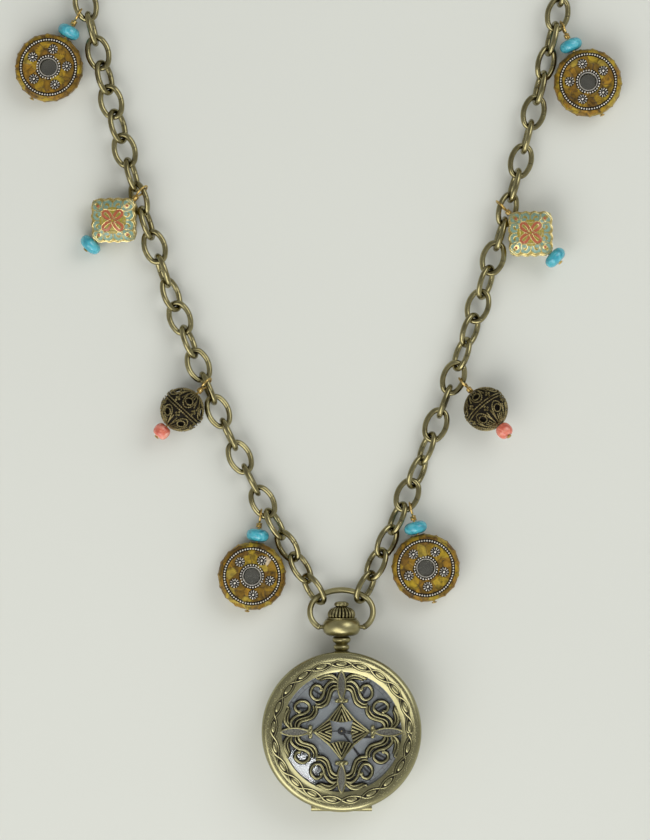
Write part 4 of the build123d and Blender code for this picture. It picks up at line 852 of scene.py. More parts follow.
def makeDialPrint():
    piece = Piece("dialPrint")
    line, half = dialPrint["line"], dialPrint["thick"] / 2
    for minute in range(60):
        five = minute % 5 == 0
        a = onCircle(dialPrint["trackInner"] - (dialPrint["fiveReach"] if five else 0), 6 * minute)
        b = onCircle(dialPrint["trackOuter"], 6 * minute)
        piece.add(strokeShape((a.x, a.y), (b.x, b.y), dialPrint["fiveTick" if five else "tick"]))
    for radius in (dialPrint["trackInner"], dialPrint["trackOuter"], *dialPrint["innerRings"]):
        ring = circleLine(radius, 120, dialPrint["level"] + half)
        piece.add(sweep(ring, [(-line, -half), (line, -half), (line, half), (-line, half)], closed=True,
                        lift=upward))
    foot = dialPrint["numeralRadius"] - dialPrint["numeralHeight"] / 2
    for hour, word in enumerate(numerals):
        place = turned(-30 * hour) @ Matrix.Translation((0, foot, 0))
        for start, end, width in numeralStrokes(word):
            piece.add(strokeShape(start, end, width), 0, place)
    piece.make(["dialInk"], "case", "dial_face")


makeDialPrint()
print("dial ready")


# Pendant neck, crown and bow

neck = {"level": 5.7, "rings": ((24.0, 2.3, 0.95), (26.2, 2.65, 1.12)), "grooves": (22.9, 25.1, 27.3),
        "ballOut": 29.9, "ballRadius": 5.5, "ballHalf": 2.6, "socket": 4.25, "socketFoot": 30.9}


def alongStem(out):
    # place of something turned about the stem, its own height running outwards
    return Matrix.Translation((0, out, neck["level"])) @ turned(-90, "X")


def makeNeck():
    piece = Piece("pendantNeckTurned")
    ballHalf, ballRadius = neck["ballHalf"], neck["ballRadius"]
    start = neck["ballOut"] - ballHalf
    profile = [(0.5, 22.35), (2.95, 22.35), (2.75, 22.6), (2.15, 22.88)]
    for centre, reach, rounding in neck["rings"]:
        for step in range(9):
            turn = radians(-70 + 17.5 * step)
            inward, along = rounding * (1 - cos(turn)), rounding * sin(turn) * 0.92
            profile.append((reach - inward, centre + along))
    profile += [(1.9, start + 0.05)]
    for step in range(1, 20):
        turn = radians(-90 + 9 * step)
        bulge = ballHalf * cos(turn) ** 0.85
        profile.append((ballRadius - ballHalf + bulge, neck["ballOut"] + ballHalf * sin(turn)))
    lip = neck["ballOut"] + ballHalf
    profile += [(4.55, lip), (4.33, lip - 0.08), (neck["socket"], lip - 0.35),
                (neck["socket"], neck["socketFoot"]), (0.5, neck["socketFoot"] - 0.05)]
    # painted shade: darker in the grooves between the rings and inside the socket of the crown
    soilAndShade = []
    for _ in range(96):
        for radius, height in profile:
            gap = min(abs(height - groove) for groove in neck["grooves"])
            inside = height > neck["socketFoot"] - 0.1 and radius < neck["socket"] + 0.05
            soilAndShade.append(0.8 if inside else max(0.0, 0.75 - gap * 1.6))
    piece.add(lathe(profile, 96, looped=True), 0, alongStem(0), soilAndShade)
    piece.make(["bossBrass"], "case", "polished_gold", ["pendant_neck"])


crown = {"start": 31.4, "flutes": 22, "fluteDepth": 0.15}


def makeCrown():
    piece = Piece("crownFluted")
    body = roundProfile([(0.46, 0.02), (2.72, 0.04), (3.5, 0.7), (3.92, 1.5), (3.98, 2.2), (3.75, 3.0),
                         (3.1, 3.7), (2.2, 4.15)], 5)
    flute = len(body)
    cap = roundProfile([(1.7, 4.28), (1.66, 4.42), (1.98, 4.62), (2.08, 5.0), (1.95, 5.4), (1.45, 5.72),
                        (0.7, 5.86), (0.03, 5.88)], 4)
    steps = crown["flutes"] * 12

    def ridge(angle, number):
        if number >= flute:
            return 1 - 0.12 * (1 - abs(cos(4 * angle)))
        share = number / (flute - 1)
        depth = crown["fluteDepth"] * min(1, 6 * share) * min(1, 5 * (1.08 - share))
        return 1 - depth * (1 - abs(cos(crown["flutes"] / 2 * angle)) ** 0.7)

    profile = [(0.46, 0.02)] + body[1:] + cap
    # painted shade in the flutes and in the waist under the knob
    soilAndShade = []
    for turn in range(steps):
        angle = fullTurn * turn / steps
        for number in range(len(profile)):
            groove = 1 - abs(cos(crown["flutes"] / 2 * angle)) ** 0.5
            if number < flute:
                soilAndShade.append(min(1, 0.1 + groove * 2.2))
            else:
                soilAndShade.append(0.85 if number < flute + 6 else 0.15)
    piece.add(lathe(profile, steps, shape=ridge), 0, alongStem(crown["start"]), soilAndShade)
    piece.make(["bossBrass"], "crown", "polished_gold", ["crown"], sharp=70)


bow = {"wire": 0.85, "sideX": 3.8, "sideY": 4.4975, "sideRadius": 5.3, "topY": -1.5, "topRadius": 12.4,
       "tilt": 15.0, "pivotOut": 29.9, "pin": 0.6, "pinInner": 4.35, "linkShadeSide": 6.3, "linkShadeFrom": 36}


def bowLine(steps=24):
    # oval of the bow in its own plane, from one pivot over the top to the other
    side, top = bow["sideRadius"], bow["topRadius"]
    foot = asin(-bow["sideY"] / side)
    join = atan2(bow["sideY"] - bow["topY"], bow["sideX"])
    half = [(bow["sideX"] + side * cos(foot + (join - foot) * n / steps),
             bow["sideY"] + side * sin(foot + (join - foot) * n / steps)) for n in range(steps + 1)]
    half += [(top * cos(join + (pi / 2 - join) * n / steps),
              bow["topY"] + top * sin(join + (pi / 2 - join) * n / steps)) for n in range(1, steps + 1)]
    line = half + [(-x, y) for x, y in reversed(half[:-1])]
    tilt = radians(bow["tilt"])
    return [Vector((x, bow["pivotOut"] + y * cos(tilt), neck["level"] - y * sin(tilt)))
            for x, y in line]


def makeBow():
    piece = Piece("bowWire")
    line = bowLine()
    count = len(line)
    # painted shade darkens the wire towards the pivots, where it enters the neck, and where the chain links
    # hang on it
    soilAndShade = []
    for number in range(count):
        near = min(number, count - 1 - number)
        linkShade = abs(abs(line[number].x) - bow["linkShadeSide"]) < 1.0 and line[number].y > bow["linkShadeFrom"]
        soilAndShade += [max(0.0, 0.7 - near * 0.2) + (0.35 if linkShade else 0)] * 16
    piece.add(sweep(line, roundSection(bow["wire"], 16)), 0, soilAndShade=soilAndShade)
    tip = [(0.02, -0.84), (0.4, -0.74), (0.7, -0.48), (0.84, -0.1), (0.84, 0.1), (0.7, 0.48), (0.4, 0.74),
           (0.02, 0.84)]
    for side in (-1, 1):
        foot = line[0] if side > 0 else line[-1]
        piece.add(lathe(tip, 24), 0, Matrix.Translation(foot), 0.2)
        inner, outer = side * bow["pinInner"], side * (abs(foot.x) + 0.5)
        piece.add(sweep([(inner, foot.y, foot.z), (outer, foot.y, foot.z)], roundSection(bow["pin"], 16)), 0,
                  soilAndShade=0.4)
    piece.make(["bossBrass"], "bow", "polished_gold", ["bow"])


makeNeck()
makeCrown()
makeBow()
print("pendant ready")


# Chain: the same row of oval links that the CAD hangs, with the unseen ones bent round behind

chain = {
    "wire": 1.6, "halfLength": 4.535, "halfWidth": 2.95, "endRadius": 2.4, "pitch": 7.29, "level": 3.76,
    "visible": 26, "lower": 13, "backTurn": 6.27647, "edgeRoll": 98.0, "flatRoll": 10.0,
    "ringRadius": 2.75, "ringWire": 0.55, "ringStep": 5.585,
}
chainSides = {
    "left": {"side": -1, "first": (-7.9395, 40.7773), "startLean": 32.8, "endLean": 14.2, "curve": 1.61,
             "back": 16, "rolls": [125, 50, -40, 65, 0, 88, 8, 97, 12, 100, 10, 70, -12, 48, 105, -10,
                       72, -45, 72, -10, 55, -8, 55, -5, 82, 10]},
    "right": {"side": 1, "first": (6.8825, 41.3645), "startLean": 26.2, "endLean": 13.2, "curve": 1.52,
              "back": 15, "rolls": [55, 135, 40, -64, -4, 55, 115, -8, 85, 5, -60, 50, -12, 60, -5,
                        98, 35, 100, 10, 95, 8, 105, 40, 105, 12, 100]},
}


def linkPlaces(row):
    side, span = row["side"], chain["visible"] - 1
    headings = [90 - side * (row["endLean"] + (row["startLean"] - row["endLean"])
                             * (1 - n / span) ** row["curve"])
                for n in range(chain["visible"])]
    rolls = list(row["rolls"])
    for number in range(row["back"]):
        headings.append(headings[-1] + side * chain["backTurn"])
        rolls.append(chain["edgeRoll"] if (number % 2 == 0) == (side < 0) else chain["flatRoll"])
    spot = Vector((*row["first"], chain["level"]))
    places = []
    for number, heading in enumerate(headings):
        if number:
            for turn in (headings[number - 1], heading):
                spot = spot + onCircle(chain["pitch"] / 2, turn)
        places.append(Matrix.Translation(spot) @ turned(heading)
                      @ turned(rolls[number], "X"))
    return places


def linkShape(steps=64, sides=14):
    # closed oval of round wire with a fine dark butt seam on one long side, and painted shade inside the ends
    # where its neighbours hang
    halfLength, halfWidth, endRadius = chain["halfLength"], chain["halfWidth"], chain["endRadius"]
    offset = halfLength - endRadius
    surplus = halfWidth - endRadius
    rise = (offset ** 2 - surplus ** 2) / (2 * surplus)
    sideRadius = rise + halfWidth
    corner = atan2(rise, offset)
    line = []
    quarter = steps // 4
    for n in range(quarter):
        turn = corner * n / quarter
        line.append(Vector((offset + endRadius * cos(turn), endRadius * sin(turn), 0)))
    for n in range(quarter + 1):
        turn = corner + (pi / 2 - corner) * n / quarter
        line.append(Vector((sideRadius * cos(turn), sideRadius * sin(turn) - rise, 0)))
    line += [Vector((-p.x, p.y, 0)) for p in reversed(line[:-1])]
    line += [Vector((p.x, -p.y, 0)) for p in reversed(line[1:-1])]
    count = len(line)
    seam = 3 * count // 4
    swell = [0.955 if n == seam else 1.0 for n in range(count)]
    soilAndShade = []
    for n in range(count):
        inner = max(0.0, abs(line[n].x) / halfLength - 0.72) / 0.28
        for k in range(sides):
            facing = cos(fullTurn * k / sides)
            soilAndShade.append(min(1.0, 0.75 * inner * max(0.0, facing) ** 0.7 + (0.7 if n == seam else 0.0)))
    return sweep(line, roundSection(chain["wire"] / 2, sides), closed=True, lift=upward, swell=swell), soilAndShade


def ringShape(radius, wire, steps=40, sides=12):
    return sweep(circleLine(radius, steps), roundSection(wire, sides), closed=True, lift=upward)


def makeChain():
    link, soilAndShade = linkShape()
    rows = {name: linkPlaces(row) for name, row in chainSides.items()}
    leftEnd, rightEnd = rows["left"][-1].translation, rows["right"][-1].translation
    closing = (rightEnd - leftEnd).normalized()
    ring = ringShape(chain["ringRadius"], chain["ringWire"])
    for name, places in rows.items():
        for part, some in (("lower", places[:chain["lower"]]), ("upper", places[chain["lower"]:])):
            piece = Piece(name + "Chain" + part.capitalize())
            for place in some:
                # every link has its own depth of tarnish
                age = random.uniform(0.0, 0.16)
                piece.add(link, 0, place, [min(1.0, value + age) for value in soilAndShade])
            if part == "upper":
                side = chainSides[name]["side"]
                centre = places[-1].translation - closing * chain["ringStep"] * side
                heading = atan2(closing.y, closing.x)
                piece.add(ring, 0, Matrix.Translation(centre) @ Matrix.Rotation(heading, 4, "Z")
                          @ turned(90, "X"))
            piece.make(["chainBrass"], name + "_" + part, "chain_gold", [name + "_chain_" + part])


makeChain()
print("chain ready")


# Charms. Each is drawn along its own x from the point where its loop hangs, with z up.

charmPlaces = {
    "lower_left_disc": {"hang": (-23.359, 62.235, 3.760), "heading": 262.0, "rise": 0.93, "loopTurn": 89.5},
    "top_left_disc": {"hang": (-75.847, 207.003, 4.210), "heading": 241.0, "rise": -0.51, "loopTurn": 86.7},
    "lower_right_disc": {"hang": (19.996, 64.269, 3.920), "heading": 284.0, "rise": 0.42, "loopTurn": 92.2},
    "top_right_disc": {"hang": (63.898, 203.360, 3.298), "heading": 294.0, "rise": 2.41, "loopTurn": 85.2},
    "left_square": {"hang": (-57.303, 156.020, 5.621), "heading": 226.0, "rise": -5.07, "loopTurn": -75.8},
    "right_square": {"hang": (45.863, 151.717, 5.430), "heading": 316.0, "rise": 3.41, "loopTurn": -92.4},
    "left_ball": {"hang": (-38.715, 100.388, 6.479), "heading": 227.0, "rise": 0.38, "loopTurn": 104.1},
    "right_ball": {"hang": (35.068, 100.593, 3.503), "heading": 310.0, "rise": 16.62, "loopTurn": 98.7},
}
pin = {"wire": 0.31, "loopOffset": 0.45, "loopRadius": 1.95, "loopEnd": 2.4, "wrapEnd": 4.1,
       "wrapRadius": 0.68, "wrapWire": 0.21, "turns": 3.2, "headGap": 0.3}
acrossPin = turned(90, "Y")  # turned work about the pin


def charmMatrix(name):
    place = charmPlaces[name]
    return (Matrix.Translation(place["hang"]) @ turned(place["heading"])
            @ turned(-place["rise"], "Y"))


def makePin(name, end):
    piece = Piece(name + "Wire")
    home = charmMatrix(name)
    loopTurn = home @ turned(charmPlaces[name]["loopTurn"], "X")
    loop = ringShape(pin["loopRadius"], pin["wire"], 36, 12)
    piece.add(loop, 0, loopTurn @ Matrix.Translation((pin["loopOffset"], 0, 0)))
    coil = []
    steps = 64
    for n in range(steps + 1):
        turn = fullTurn * pin["turns"] * n / steps
        out = pin["loopEnd"] + 0.15 + (pin["wrapEnd"] - pin["loopEnd"] - 0.42) * n / steps
        coil.append(Vector((out, pin["wrapRadius"] * cos(turn), pin["wrapRadius"] * sin(turn))))
    piece.add(sweep(coil, roundSection(pin["wrapWire"], 8)), 0, home)
    head = end + pin["headGap"]
    piece.add(sweep([(pin["loopEnd"] - 0.2, 0, 0), (head, 0, 0)], roundSection(pin["wire"], 12)), 0, home)
    knob = [(0.02, -0.24), (0.62, -0.24), (0.74, -0.12), (0.74, 0.02), (0.6, 0.16), (0.3, 0.23), (0.02, 0.25)]
    piece.add(lathe(knob, 24), 0, home @ Matrix.Translation((head, 0, 0)) @ acrossPin)
    piece.make(["pinGold"], name, "pin_gold", [name + "_pin"])


def makeStone(name, kind, distance, diameter, thickness):
    # tumbled bead, a little uneven, drilled for the pin
    piece = Piece(name + kind.capitalize() + "Bead")
    half, reach = thickness / 2, diameter / 2
    profile = [(0.47, -half * 0.9)]
    for step in range(17):
        turn = radians(-82 + 10.25 * step)
        bulge = (reach - 0.8) * max(0.0, cos(turn)) ** 0.72
        profile.append((0.75 + bulge, half * 0.98 * sin(turn)))
    profile.append((0.47, half * 0.9))
    lean = random.uniform(0, fullTurn)

    def uneven(angle, number):
        if number in (0, len(profile) - 1):
            return 1
        return 1 - 0.012 * (1 + sin(2 * angle + lean)) - 0.006 * (1 + sin(5 * angle))

    piece.add(lathe(profile, 48, looped=True, shape=uneven), 0,
              charmMatrix(name) @ Matrix.Translation((distance, 0, 0)) @ acrossPin)
    piece.make([kind], name, kind, [name + "_" + kind])


disc = {"distance": 17.9, "faceLevel": 3.5, "steps": 204, "chips": 130, "chipGap": 1.5, "creamRadius": 6.1,
        "knobs": 17, "knobRise": 0.24, "ringRadius": 7.92, "ringSeeds": 66, "ringSeed": 0.29,
        "rosettes": 5, "rosetteRadius": 5.35, "petals": 10, "petalWire": 0.2, "heart": 0.42,
        "cup": 2.45, "bezelRadius": 3.24, "bezelSeeds": 26, "bezelSeed": 0.28}
chipTints = [(0.30, 0.168, 0.01), (0.40, 0.245, 0.014), (0.235, 0.128, 0.008), (0.43, 0.29, 0.016),
             (0.26, 0.145, 0.009), (0.36, 0.19, 0.012), (0.215, 0.11, 0.008), (0.46, 0.325, 0.04)]
creamTint = (0.62, 0.50, 0.33)


def discSurface():
    # profile from the cup over the rim to the other side, as (radius, height)
    upper = [(2.75, 1.4), (2.75, 3.5), (8.3, 3.5), (8.7, 3.4), (9.15, 3.0), (9.5, 2.1), (9.62, 1.0),
             (9.62, 0.0)]
    fine = []
    for (r1, z1), (r2, z2) in zip(upper, upper[1:]):
        steps = max(1, round(hypot(r2 - r1, z2 - z1) / 0.32))
        fine += [(r1 + (r2 - r1) * n / steps, z1 + (z2 - z1) * n / steps) for n in range(steps)]
    fine.append(upper[-1])
    return fine + [(r, -z) for r, z in reversed(fine[:-1])]


def scatterChips(profile, creamAt):
    # flat stones of one tint each, tilted a little, as (middle, rise, tint, tilt)
    chips = []
    if creamAt is not None:
        chips.append((onCircle(disc["creamRadius"], creamAt, disc["faceLevel"]), 0.12, creamTint, Vector()))
    while len(chips) < disc["chips"]:
        radius, height = random.choice(profile)
        spot = onCircle(radius, random.uniform(0, 360), height)
        if random.random() < radius / 10 and all((spot - chip[0]).length > disc["chipGap"] for chip in chips):
            chips.append((spot, random.uniform(-0.06, 0.16), random.choice(chipTints),
                          Vector([random.uniform(-0.12, 0.12) for _ in range(3)])))
    return chips


def makeMosaic(name, home, creamAt):
    # the chips swell out of the turned bead, with dark cement sunk between them and knobs round the rim
    piece = Piece(name + "Mosaic")
    profile = discSurface()
    chips = scatterChips(profile, creamAt)
    steps, count = disc["steps"], len(profile)
    points, soilAndShade, tints = [], [], []
    for turn in range(steps):
        angle = 360 * turn / steps
        knob = max(0.0, cos(radians(disc["knobs"] * angle))) ** 3
        for number, (radius, height) in enumerate(profile):
            spot = onCircle(radius, angle, height)
            ranked = sorted(((spot - chip[0]).length, n) for n, chip in enumerate(chips))
            (near, first), (far, _) = ranked[0], ranked[1]
            gap = far - near
            middle, rise, tint, tilt = chips[first]
            before, after = profile[max(number - 1, 0)], profile[min(number + 1, count - 1)]
            normal = Vector((abs(before[1] - after[1]), 0, after[0] - before[0])).normalized()
            outward = Matrix.Rotation(radians(angle), 3, "Z") @ Vector((normal.x, 0, 0))
            outward.z = copysign(abs(normal.z), height) if height else 0
            onRim = min(1.0, max(0.0, (radius - 8.4) / 0.8))
            swell = 0.08 + rise * (0.5 + onRim) + tilt.dot(spot - middle)
            lift = max(-0.1, min(0.14, swell * min(1.0, gap / 0.45))) if radius > 3 else 0.0
            points.append(spot + outward * (lift + disc["knobRise"] * knob * onRim))
            soilAndShade.append(0.8 * (1 - min(1.0, gap / 0.24)))
            tints.append(tint)
    piece.add((points, lathe(profile, steps)[1]), 0, home, soilAndShade, tints)
    piece.make(["amberChips"], name, "disc_mosaic", [name + "_bead"], sharp=60)


def layRosette(piece, spot):
    # dark plate with a granule in its middle and short rays round it
    piece.add(lathe([(0.05, 0.14), (1.3, 0.12), (1.46, 0.0), (1.46, -0.2), (0.05, -0.2)], 24), 1, spot)
    piece.add(seed((0, 0, 0.26), disc["heart"]), 0, spot, seedShade)
    for k in range(disc["petals"]):
        ray = [onCircle(reach, 360 * k / disc["petals"], 0.2) for reach in (0.66, 0.9, 1.16, 1.34)]
        piece.add(sweep(ray, roundSection(disc["petalWire"], 6), lift=upward, swell=[0.5, 0.85, 1.1, 0.6]),
                  0, spot)


def makeTrim(name, home, rosetteTurn):
    # granulated rings, rosettes and the cup in the middle, on both faces of the disc
    piece = Piece(name + "Granules")
    level, cup = disc["faceLevel"] + 0.08, disc["cup"]
    band = [(7.4, 3.3), (7.4, level + 0.06), (8.42, level + 0.06), (8.42, 3.3)]
    bezel = [(cup, 2.2), (cup, 3.82), (2.52, 3.92), (2.68, 3.92), (2.8, 3.78), (2.84, 3.3)]
    bowl = [(0.02, 1.6), (2.2, 1.62), (cup, 1.9), (cup + 0.01, 3.5), (cup + 0.02, 1.5), (0.02, 1.5)]
    collar = [(2.8, 3.3), (2.8, level + 0.05), (3.68, level + 0.05), (3.68, 3.3)]

    def seedRing(face, kind):
        for n in range(disc[kind + "Seeds"]):
            spot = onCircle(disc[kind + "Radius"], 360 * n / disc[kind + "Seeds"], level + 0.14)
            piece.add(seed(spot, disc[kind + "Seed"]), 0, face, seedShade)

    for side in (1, -1):
        face = home @ Matrix.Diagonal((1, side, side, 1))
        # the dark band under the granule ring, and the dark collar under the bezel granules, are painted
        # shade between the granules
        piece.add(lathe(band, 96, looped=True), 1, face)
        seedRing(face, "ring")
        for n in range(disc["rosettes"]):
            spot = onCircle(disc["rosetteRadius"], rosetteTurn + 72 * n, level)
            layRosette(piece, face @ Matrix.Translation(spot))
        piece.add(lathe(bezel, 48, looped=True), 0, face)
        piece.add(lathe(bowl, 48), 2, face)
        piece.add(lathe(collar, 48, looped=True), 1, face)
        seedRing(face, "bezel")
    piece.make(["granuleSilver", "darkOxideAndShade", "inlayMetal"], name, "disc_mosaic")


def makeDisc(name):
    home = charmMatrix(name) @ Matrix.Translation((disc["distance"], 0, 0))
    rosetteTurn, creamAt = discTurns[name]
    makeMosaic(name, home, creamAt)
    makeTrim(name, home, rosetteTurn)


square = {"distance": 12.124, "half": 6.4, "edge": 1.6, "crest": 4.42, "scallop": 0.17, "corner": 5.2,
          "steps": 160, "rings": 22, "wire": 0.105, "ribbon": 1.05, "knotRibbon": 0.95, "eyeAt": 0.63,
          "eyeRings": (0.62, 0.3), "rimWires": ((0.985, 0.2), (0.93, 0.11))}
enamelTints = {"ground": (0.42, 0.31, 0.03), "sea": (0.24, 0.39, 0.30), "olive": (0.40, 0.33, 0.03),
               "red": (0.48, 0.12, 0.045)}


def squareReach(angle):
    # distance from the middle to the scalloped outline, in the square's own axes
    c, s = abs(cos(angle)), abs(sin(angle))
    power = square["corner"]
    reach = square["half"] / (c ** power + s ** power) ** (1 / power)
    return reach - square["scallop"] * (1 + cos(16 * angle))


def onPillow(x, y, lift=0.0, side=1):
    # point over the puffed face of the square bead
    angle = atan2(y, x)
    share = min(1.0, hypot(x, y) / squareReach(angle))
    height = square["edge"] + (square["crest"] - square["edge"]) * (1 - share ** 2.6) ** 0.72
    return Vector((x, y, side * (height + lift)))


# ribbons and rings of one eighth of the enamel face, in shares of half the side
squareRibbons = {
    "curl": [(0.05, 0.60), (0.09, 0.76), (0.24, 0.86), (0.39, 0.79), (0.40, 0.64), (0.29, 0.58),
             (0.22, 0.66)],
    "border": [(0.47, 0.60), (0.53, 0.76), (0.66, 0.86), (0.80, 0.84), (0.86, 0.80)],
    "hook": [(0.47, 0.60), (0.52, 0.50), (0.62, 0.50)],
}
# one arm of the plain red knot, and a quarter of the wire frame round it
knotArm = [(0.0, 0.06), (0.10, 0.26), (0.30, 0.46), (0.46, 0.32), (0.30, 0.13), (0.06, 0.0)]
frameQuarter = [(0.50, -0.36), (0.47, 0.0), (0.50, 0.36), (0.44, 0.44)]


def ribbonShape(line, width, lift, side):
    # flat strip of enamel laid over the pillow
    points = []
    count = len(line)
    for number, spot in enumerate(line):
        step = line[min(number + 1, count - 1)] - line[max(number - 1, 0)]
        across = Vector((-step.y, step.x, 0)).normalized() * width / 2
        for offset, height in ((-1, -0.1), (-1, lift), (0, lift + 0.02), (1, lift), (1, -0.1)):
            spotX, spotY = spot.x + across.x * offset, spot.y + across.y * offset
            points.append(onPillow(spotX, spotY, height, side))
    return points, ringFaces(count - 1, 5) + endCaps(count - 1, 5)


def edgeLine(line, offset):
    # line beside another at a set distance
    count = len(line)
    beside = []
    for number, spot in enumerate(line):
        step = line[min(number + 1, count - 1)] - line[max(number - 1, 0)]
        beside.append(spot + Vector((-step.y, step.x, 0)).normalized() * offset)
    return beside


def pillowShape():
    # both puffed faces and the edge between them, olive inside the frame of the knot
    steps, rings = square["steps"], square["rings"]
    points, tints = [], []
    for side in (1, -1):
        for ring in range(rings + 1):
            share = 1 - ring / rings * 0.995
            for n in range(steps):
                angle = fullTurn * n / steps
                reach = squareReach(angle) * share
                x, y = reach * cos(angle), reach * sin(angle)
                points.append(onPillow(x, y, 0, side))
                inner = max(abs(x), abs(y)) / square["half"] < 0.5
                tints.append(enamelTints["olive" if inner else "ground"])
    layer = (rings + 1) * steps
    faces = []
    for half in (0, layer):
        faces += ringFaces(rings, steps, half)
        faces.append(tuple(half + rings * steps + n for n in range(steps)))
    faces += [(n, (n + 1) % steps, layer + (n + 1) % steps, layer + n) for n in range(steps)]
    return points, faces, tints


def makeSquare(name):
    body = Piece(name + "Enamel")
    wires = Piece(name + "Cells")
    home = (charmMatrix(name) @ Matrix.Translation((square["distance"], 0, 0))
            @ turned(45))
    points, faces, tints = pillowShape()
    body.add((points, faces), 0, home, 0.0, tints)
    wire, half = roundSection(square["wire"], 6), square["half"]

    def layWire(line, lift, side, section=wire, closed=False):
        wires.add(sweep([onPillow(p.x, p.y, lift, side) for p in line], section, closed=closed), 0, home)

    def layRibbon(line, width, lift, wireLift, tint, side):
        # strip of enamel with a gold wire along each edge
        body.add(ribbonShape(line, width, lift, side), 0, home, 0.0, enamelTints[tint])
        for offset in (-width / 2, width / 2):
            layWire(edgeLine(line, offset), wireLift, side)

    for side in (1, -1):
        for turn in range(0, 360, 90):
            spin = Matrix.Rotation(radians(turn), 3, "Z")
            for flip in (1, -1):
                for knots in squareRibbons.values():
                    line = [spin @ Matrix.Diagonal((flip, 1, 1)) @ (point * half)
                            for point in flowLine(knots, 5)]
                    layRibbon(line, square["ribbon"], 0.05, 0.1, "sea", side)
            spot = spin @ Vector((square["eyeAt"] * half, square["eyeAt"] * half, 0))
            for radius in square["eyeRings"]:
                layWire([spot + point for point in circleLine(radius, 20)], 0.1, side, closed=True)
            body.add(seed(onPillow(spot.x, spot.y, 0.05, side), 0.5, 0.4), 0, home, 0.0, enamelTints["red"])
            line = [spin @ (point * half) for point in flowLine(knotArm, 5)]
            layRibbon(line, square["knotRibbon"], 0.06, 0.11, "red", side)
        frameLine = [Matrix.Rotation(radians(turn), 3, "Z") @ Vector((x * half, y * half, 0))
                     for turn in range(0, 360, 90) for x, y in frameQuarter]
        layWire(flowLine(frameLine, 5, closed=True), 0.08, side, closed=True)
        for share, radius in square["rimWires"]:
            angles = [fullTurn * n / square["steps"] for n in range(square["steps"])]
            rim = [Vector((cos(a), sin(a), 0)) * squareReach(a) * share for a in angles]
            layWire(rim, 0.03, side, roundSection(radius, 8), closed=True)
    body.make(["enamel"], name, "square_enamel", [name + "_bead"], sharp=60)
    wires.make(["wireGold"], name, "square_enamel")


ball = {"distance": 10.65, "radius": 6.25, "wire": 0.185, "pitch": 0.66, "shell": 5.95, "shellInner": 5.7,
        "core": 5.2, "petals": 6, "windowTurn": 31.0, "window": 9.4, "windowRing": 10.5, "seam": 4.0,
        "poleRing": 79}
# outline of one petal and the spots between two, as latitude and turn in degrees
ballPetal = [(76, -3), (60, -13), (44, -17), (30, -17.5), (19, -14), (12.5, -6), (11, 0), (12.5, 6), (19, 14),
             (30, 17.5), (44, 17), (60, 13), (76, 3)]
ballSeeds = [(9, 0), (15.5, -4.5), (15.5, 4.5), (20, 0)]


def ballPoint(latitude, longitude, radius):
    # latitude counts from the seam towards the pin, which runs along x
    up, spin = radians(latitude), radians(longitude)
    level = radius * cos(up)
    return Vector((radius * sin(up), level * cos(spin), level * sin(spin)))


def beadedWire(line, wire, pitch, closed=False):
    # spaces a line evenly and swells it like granulated wire
    travelled = [0.0]
    loop = line + [line[0]] if closed else line
    for a, b in zip(loop, loop[1:]):
        travelled.append(travelled[-1] + (b - a).length)
    beads = max(3, round(travelled[-1] / pitch))
    samples = beads * 4
    dense, index = [], 0
    for n in range(samples if closed else samples + 1):
        aim = travelled[-1] * n / samples
        while index < len(travelled) - 2 and travelled[index + 1] < aim:
            index += 1
        span = travelled[index + 1] - travelled[index]
        dense.append(loop[index].lerp(loop[index + 1], (aim - travelled[index]) / span if span else 0))
    swell = [0.32 + 0.84 * abs(sin(pi * n / 4)) for n in range(len(dense))]
    lift = [point.normalized() for point in dense]
    return sweep(dense, roundSection(wire, 6), closed=closed, lift=lift, swell=swell)


def petalTurns(side):
    # the petals of one half stand between those of the other
    return [360 * (number + (0.5 if side < 0 else 0)) / ball["petals"] for number in range(ball["petals"])]


def piercedShell():
    # dark shell of the ball, painted shade with some oxide under the wires, with a round window inside every
    # petal, as thick as the sheet it is stamped from
    cell, around = 2.5, 144
    latitudes = [-80 + cell * n for n in range(65)]
    middles = [ballPoint(side * ball["windowTurn"], turn, 1) for side in (1, -1) for turn in petalTurns(side)]
    windowLimit = cos(radians(ball["window"]))
    kept = {}
    for row, latitude in enumerate(latitudes[:-1]):
        for column in range(around):
            spot = ballPoint(latitude + cell / 2, cell * (column + 0.5), 1)
            kept[row, column] = all(spot.dot(middle) < windowLimit for middle in middles)
    points = [ballPoint(latitude, cell * n, radius) for radius in (ball["shell"], ball["shellInner"])
              for latitude in latitudes for n in range(around)]
    inner = len(latitudes) * around
    faces = []
    for (row, column), solid in kept.items():
        if solid:
            right = (column + 1) % around
            corners = [row * around + column, row * around + right, (row + 1) * around + right,
                       (row + 1) * around + column]
            faces.append(tuple(corners))
            faces.append(tuple(inner + corner for corner in reversed(corners)))
            beside = [(row - 1, column), (row, right), (row + 1, column), (row, (column - 1) % around)]
            for k, cellBeside in enumerate(beside):
                if not kept.get(cellBeside, False):
                    a, b = corners[k], corners[(k + 1) % 4]
                    faces.append((b, a, inner + a, inner + b))
    return points, faces


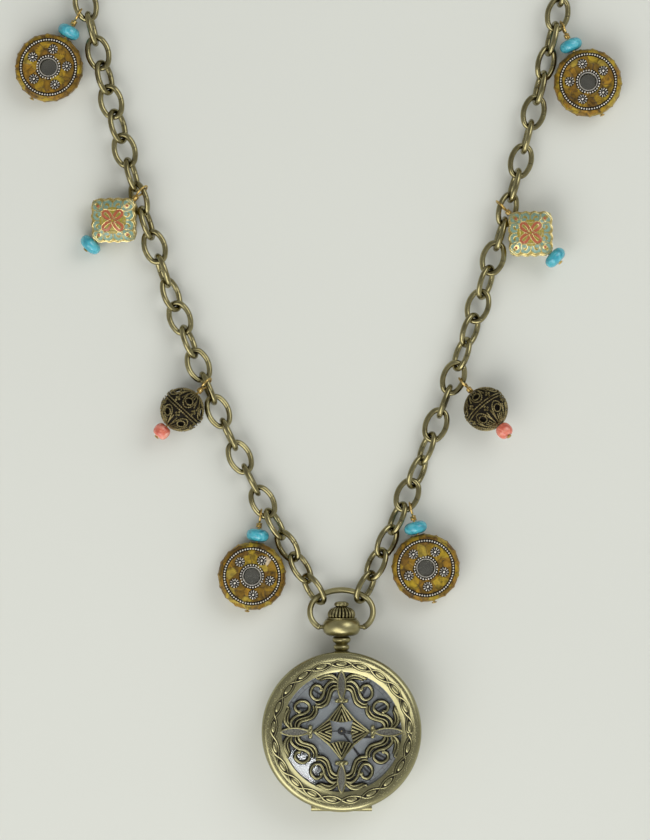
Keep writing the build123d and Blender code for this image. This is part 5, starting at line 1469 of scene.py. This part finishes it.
def makeBall(name):
    piece = Piece(name + "Filigree")
    home = charmMatrix(name) @ Matrix.Translation((ball["distance"], 0, 0))
    radius, wire, pitch = ball["radius"], ball["wire"], ball["pitch"]

    def lay(line, closed=False, size=1.0):
        # beaded wire soldered to the dark shell, with painted shade where it meets it
        start = len(piece.points)
        piece.add(beadedWire(line, wire * size, pitch, closed))
        for number in range(start, len(piece.points)):
            depth = (radius - piece.points[number].length) / wire
            piece.soilAndShade[number] = min(1.0, max(0.0, depth * 0.75))

    def layUpright(side, turn, drift, spread, latitudes, size=1.0):
        # wire that runs towards the pole and drifts away from its middle line
        lay([ballPoint(side * up, turn + drift * (1 + up / spread), radius) for up in latitudes], size=size)

    piece.add(piercedShell(), 1)
    # dark inner ball, painted shade of the hollow inside seen through the windows
    reach = ball["core"]
    core = [(reach * cos(radians(-84 + 12 * n)), reach * sin(radians(-84 + 12 * n)))
            for n in range(15)]
    piece.add(lathe([(0.5, -reach)] + core + [(0.5, reach)], 40, looped=True), 1, acrossPin)
    windowWide = ball["windowRing"] / cos(radians(ball["windowTurn"]))
    for side in (1, -1):
        for middle in petalTurns(side):
            knots = [ballPoint(side * up, middle + turn / max(0.35, cos(radians(up))) * 0.86, radius)
                     for up, turn in ballPetal]
            lay([p.normalized() * radius for p in flowLine(knots, 4)])
            angles = [fullTurn * n / 20 for n in range(20)]
            lay([ballPoint(side * (ball["windowTurn"] + ball["windowRing"] * sin(a)),
                           middle + windowWide * cos(a), radius) for a in angles], closed=True)
            for drift in (-5, 0, 5):
                layUpright(side, middle, drift, 60, (45, 53, 61, 69, 77), 0.9)
            between = middle + 180 / ball["petals"]
            for drift in (-4.5, 4.5):
                layUpright(side, between, drift, 70, (24, 35, 46, 57, 68, 77))
            for up, turn in ballSeeds:
                piece.add(seed(ballPoint(side * up, between + turn, radius), 0.34), 0, None, 0.1)
        lay([ballPoint(side * ball["poleRing"], 18 * n, radius) for n in range(20)], closed=True)
    for up in (-ball["seam"], ball["seam"]):
        lay([ballPoint(up, 4 * n, radius) for n in range(90)], closed=True)
    piece.points = [home @ point for point in piece.points]
    piece.make(["filigreeMetal", "darkOxideAndShade"], name, "ball_filigree", [name + "_bead"], sharp=80)


# turn of the rosettes and of the one cream chip on each disc
discTurns = {"lower_left_disc": (12, 148), "top_left_disc": (50, None), "lower_right_disc": (-8, None),
             "top_right_disc": (30, None)}
# where each kind of charm has its pin head, and its stone: kind, distance along the pin, diameter, thickness
charmKinds = {
    "disc": {"pinEnd": 27.9, "stone": ("turquoise", 6.0, 6.9, 3.7), "make": makeDisc},
    "square": {"pinEnd": 23.848, "stone": ("turquoise", 21.998, 6.9, 3.7), "make": makeSquare},
    "ball": {"pinEnd": 21.2, "stone": ("coral", 19.2, 4.9, 4.0), "make": makeBall},
}
for charmName in charmPlaces:
    kind = charmKinds[charmName.split("_")[-1]]
    makePin(charmName, kind["pinEnd"])
    makeStone(charmName, *kind["stone"])
    kind["make"](charmName)
    print(charmName, "ready")
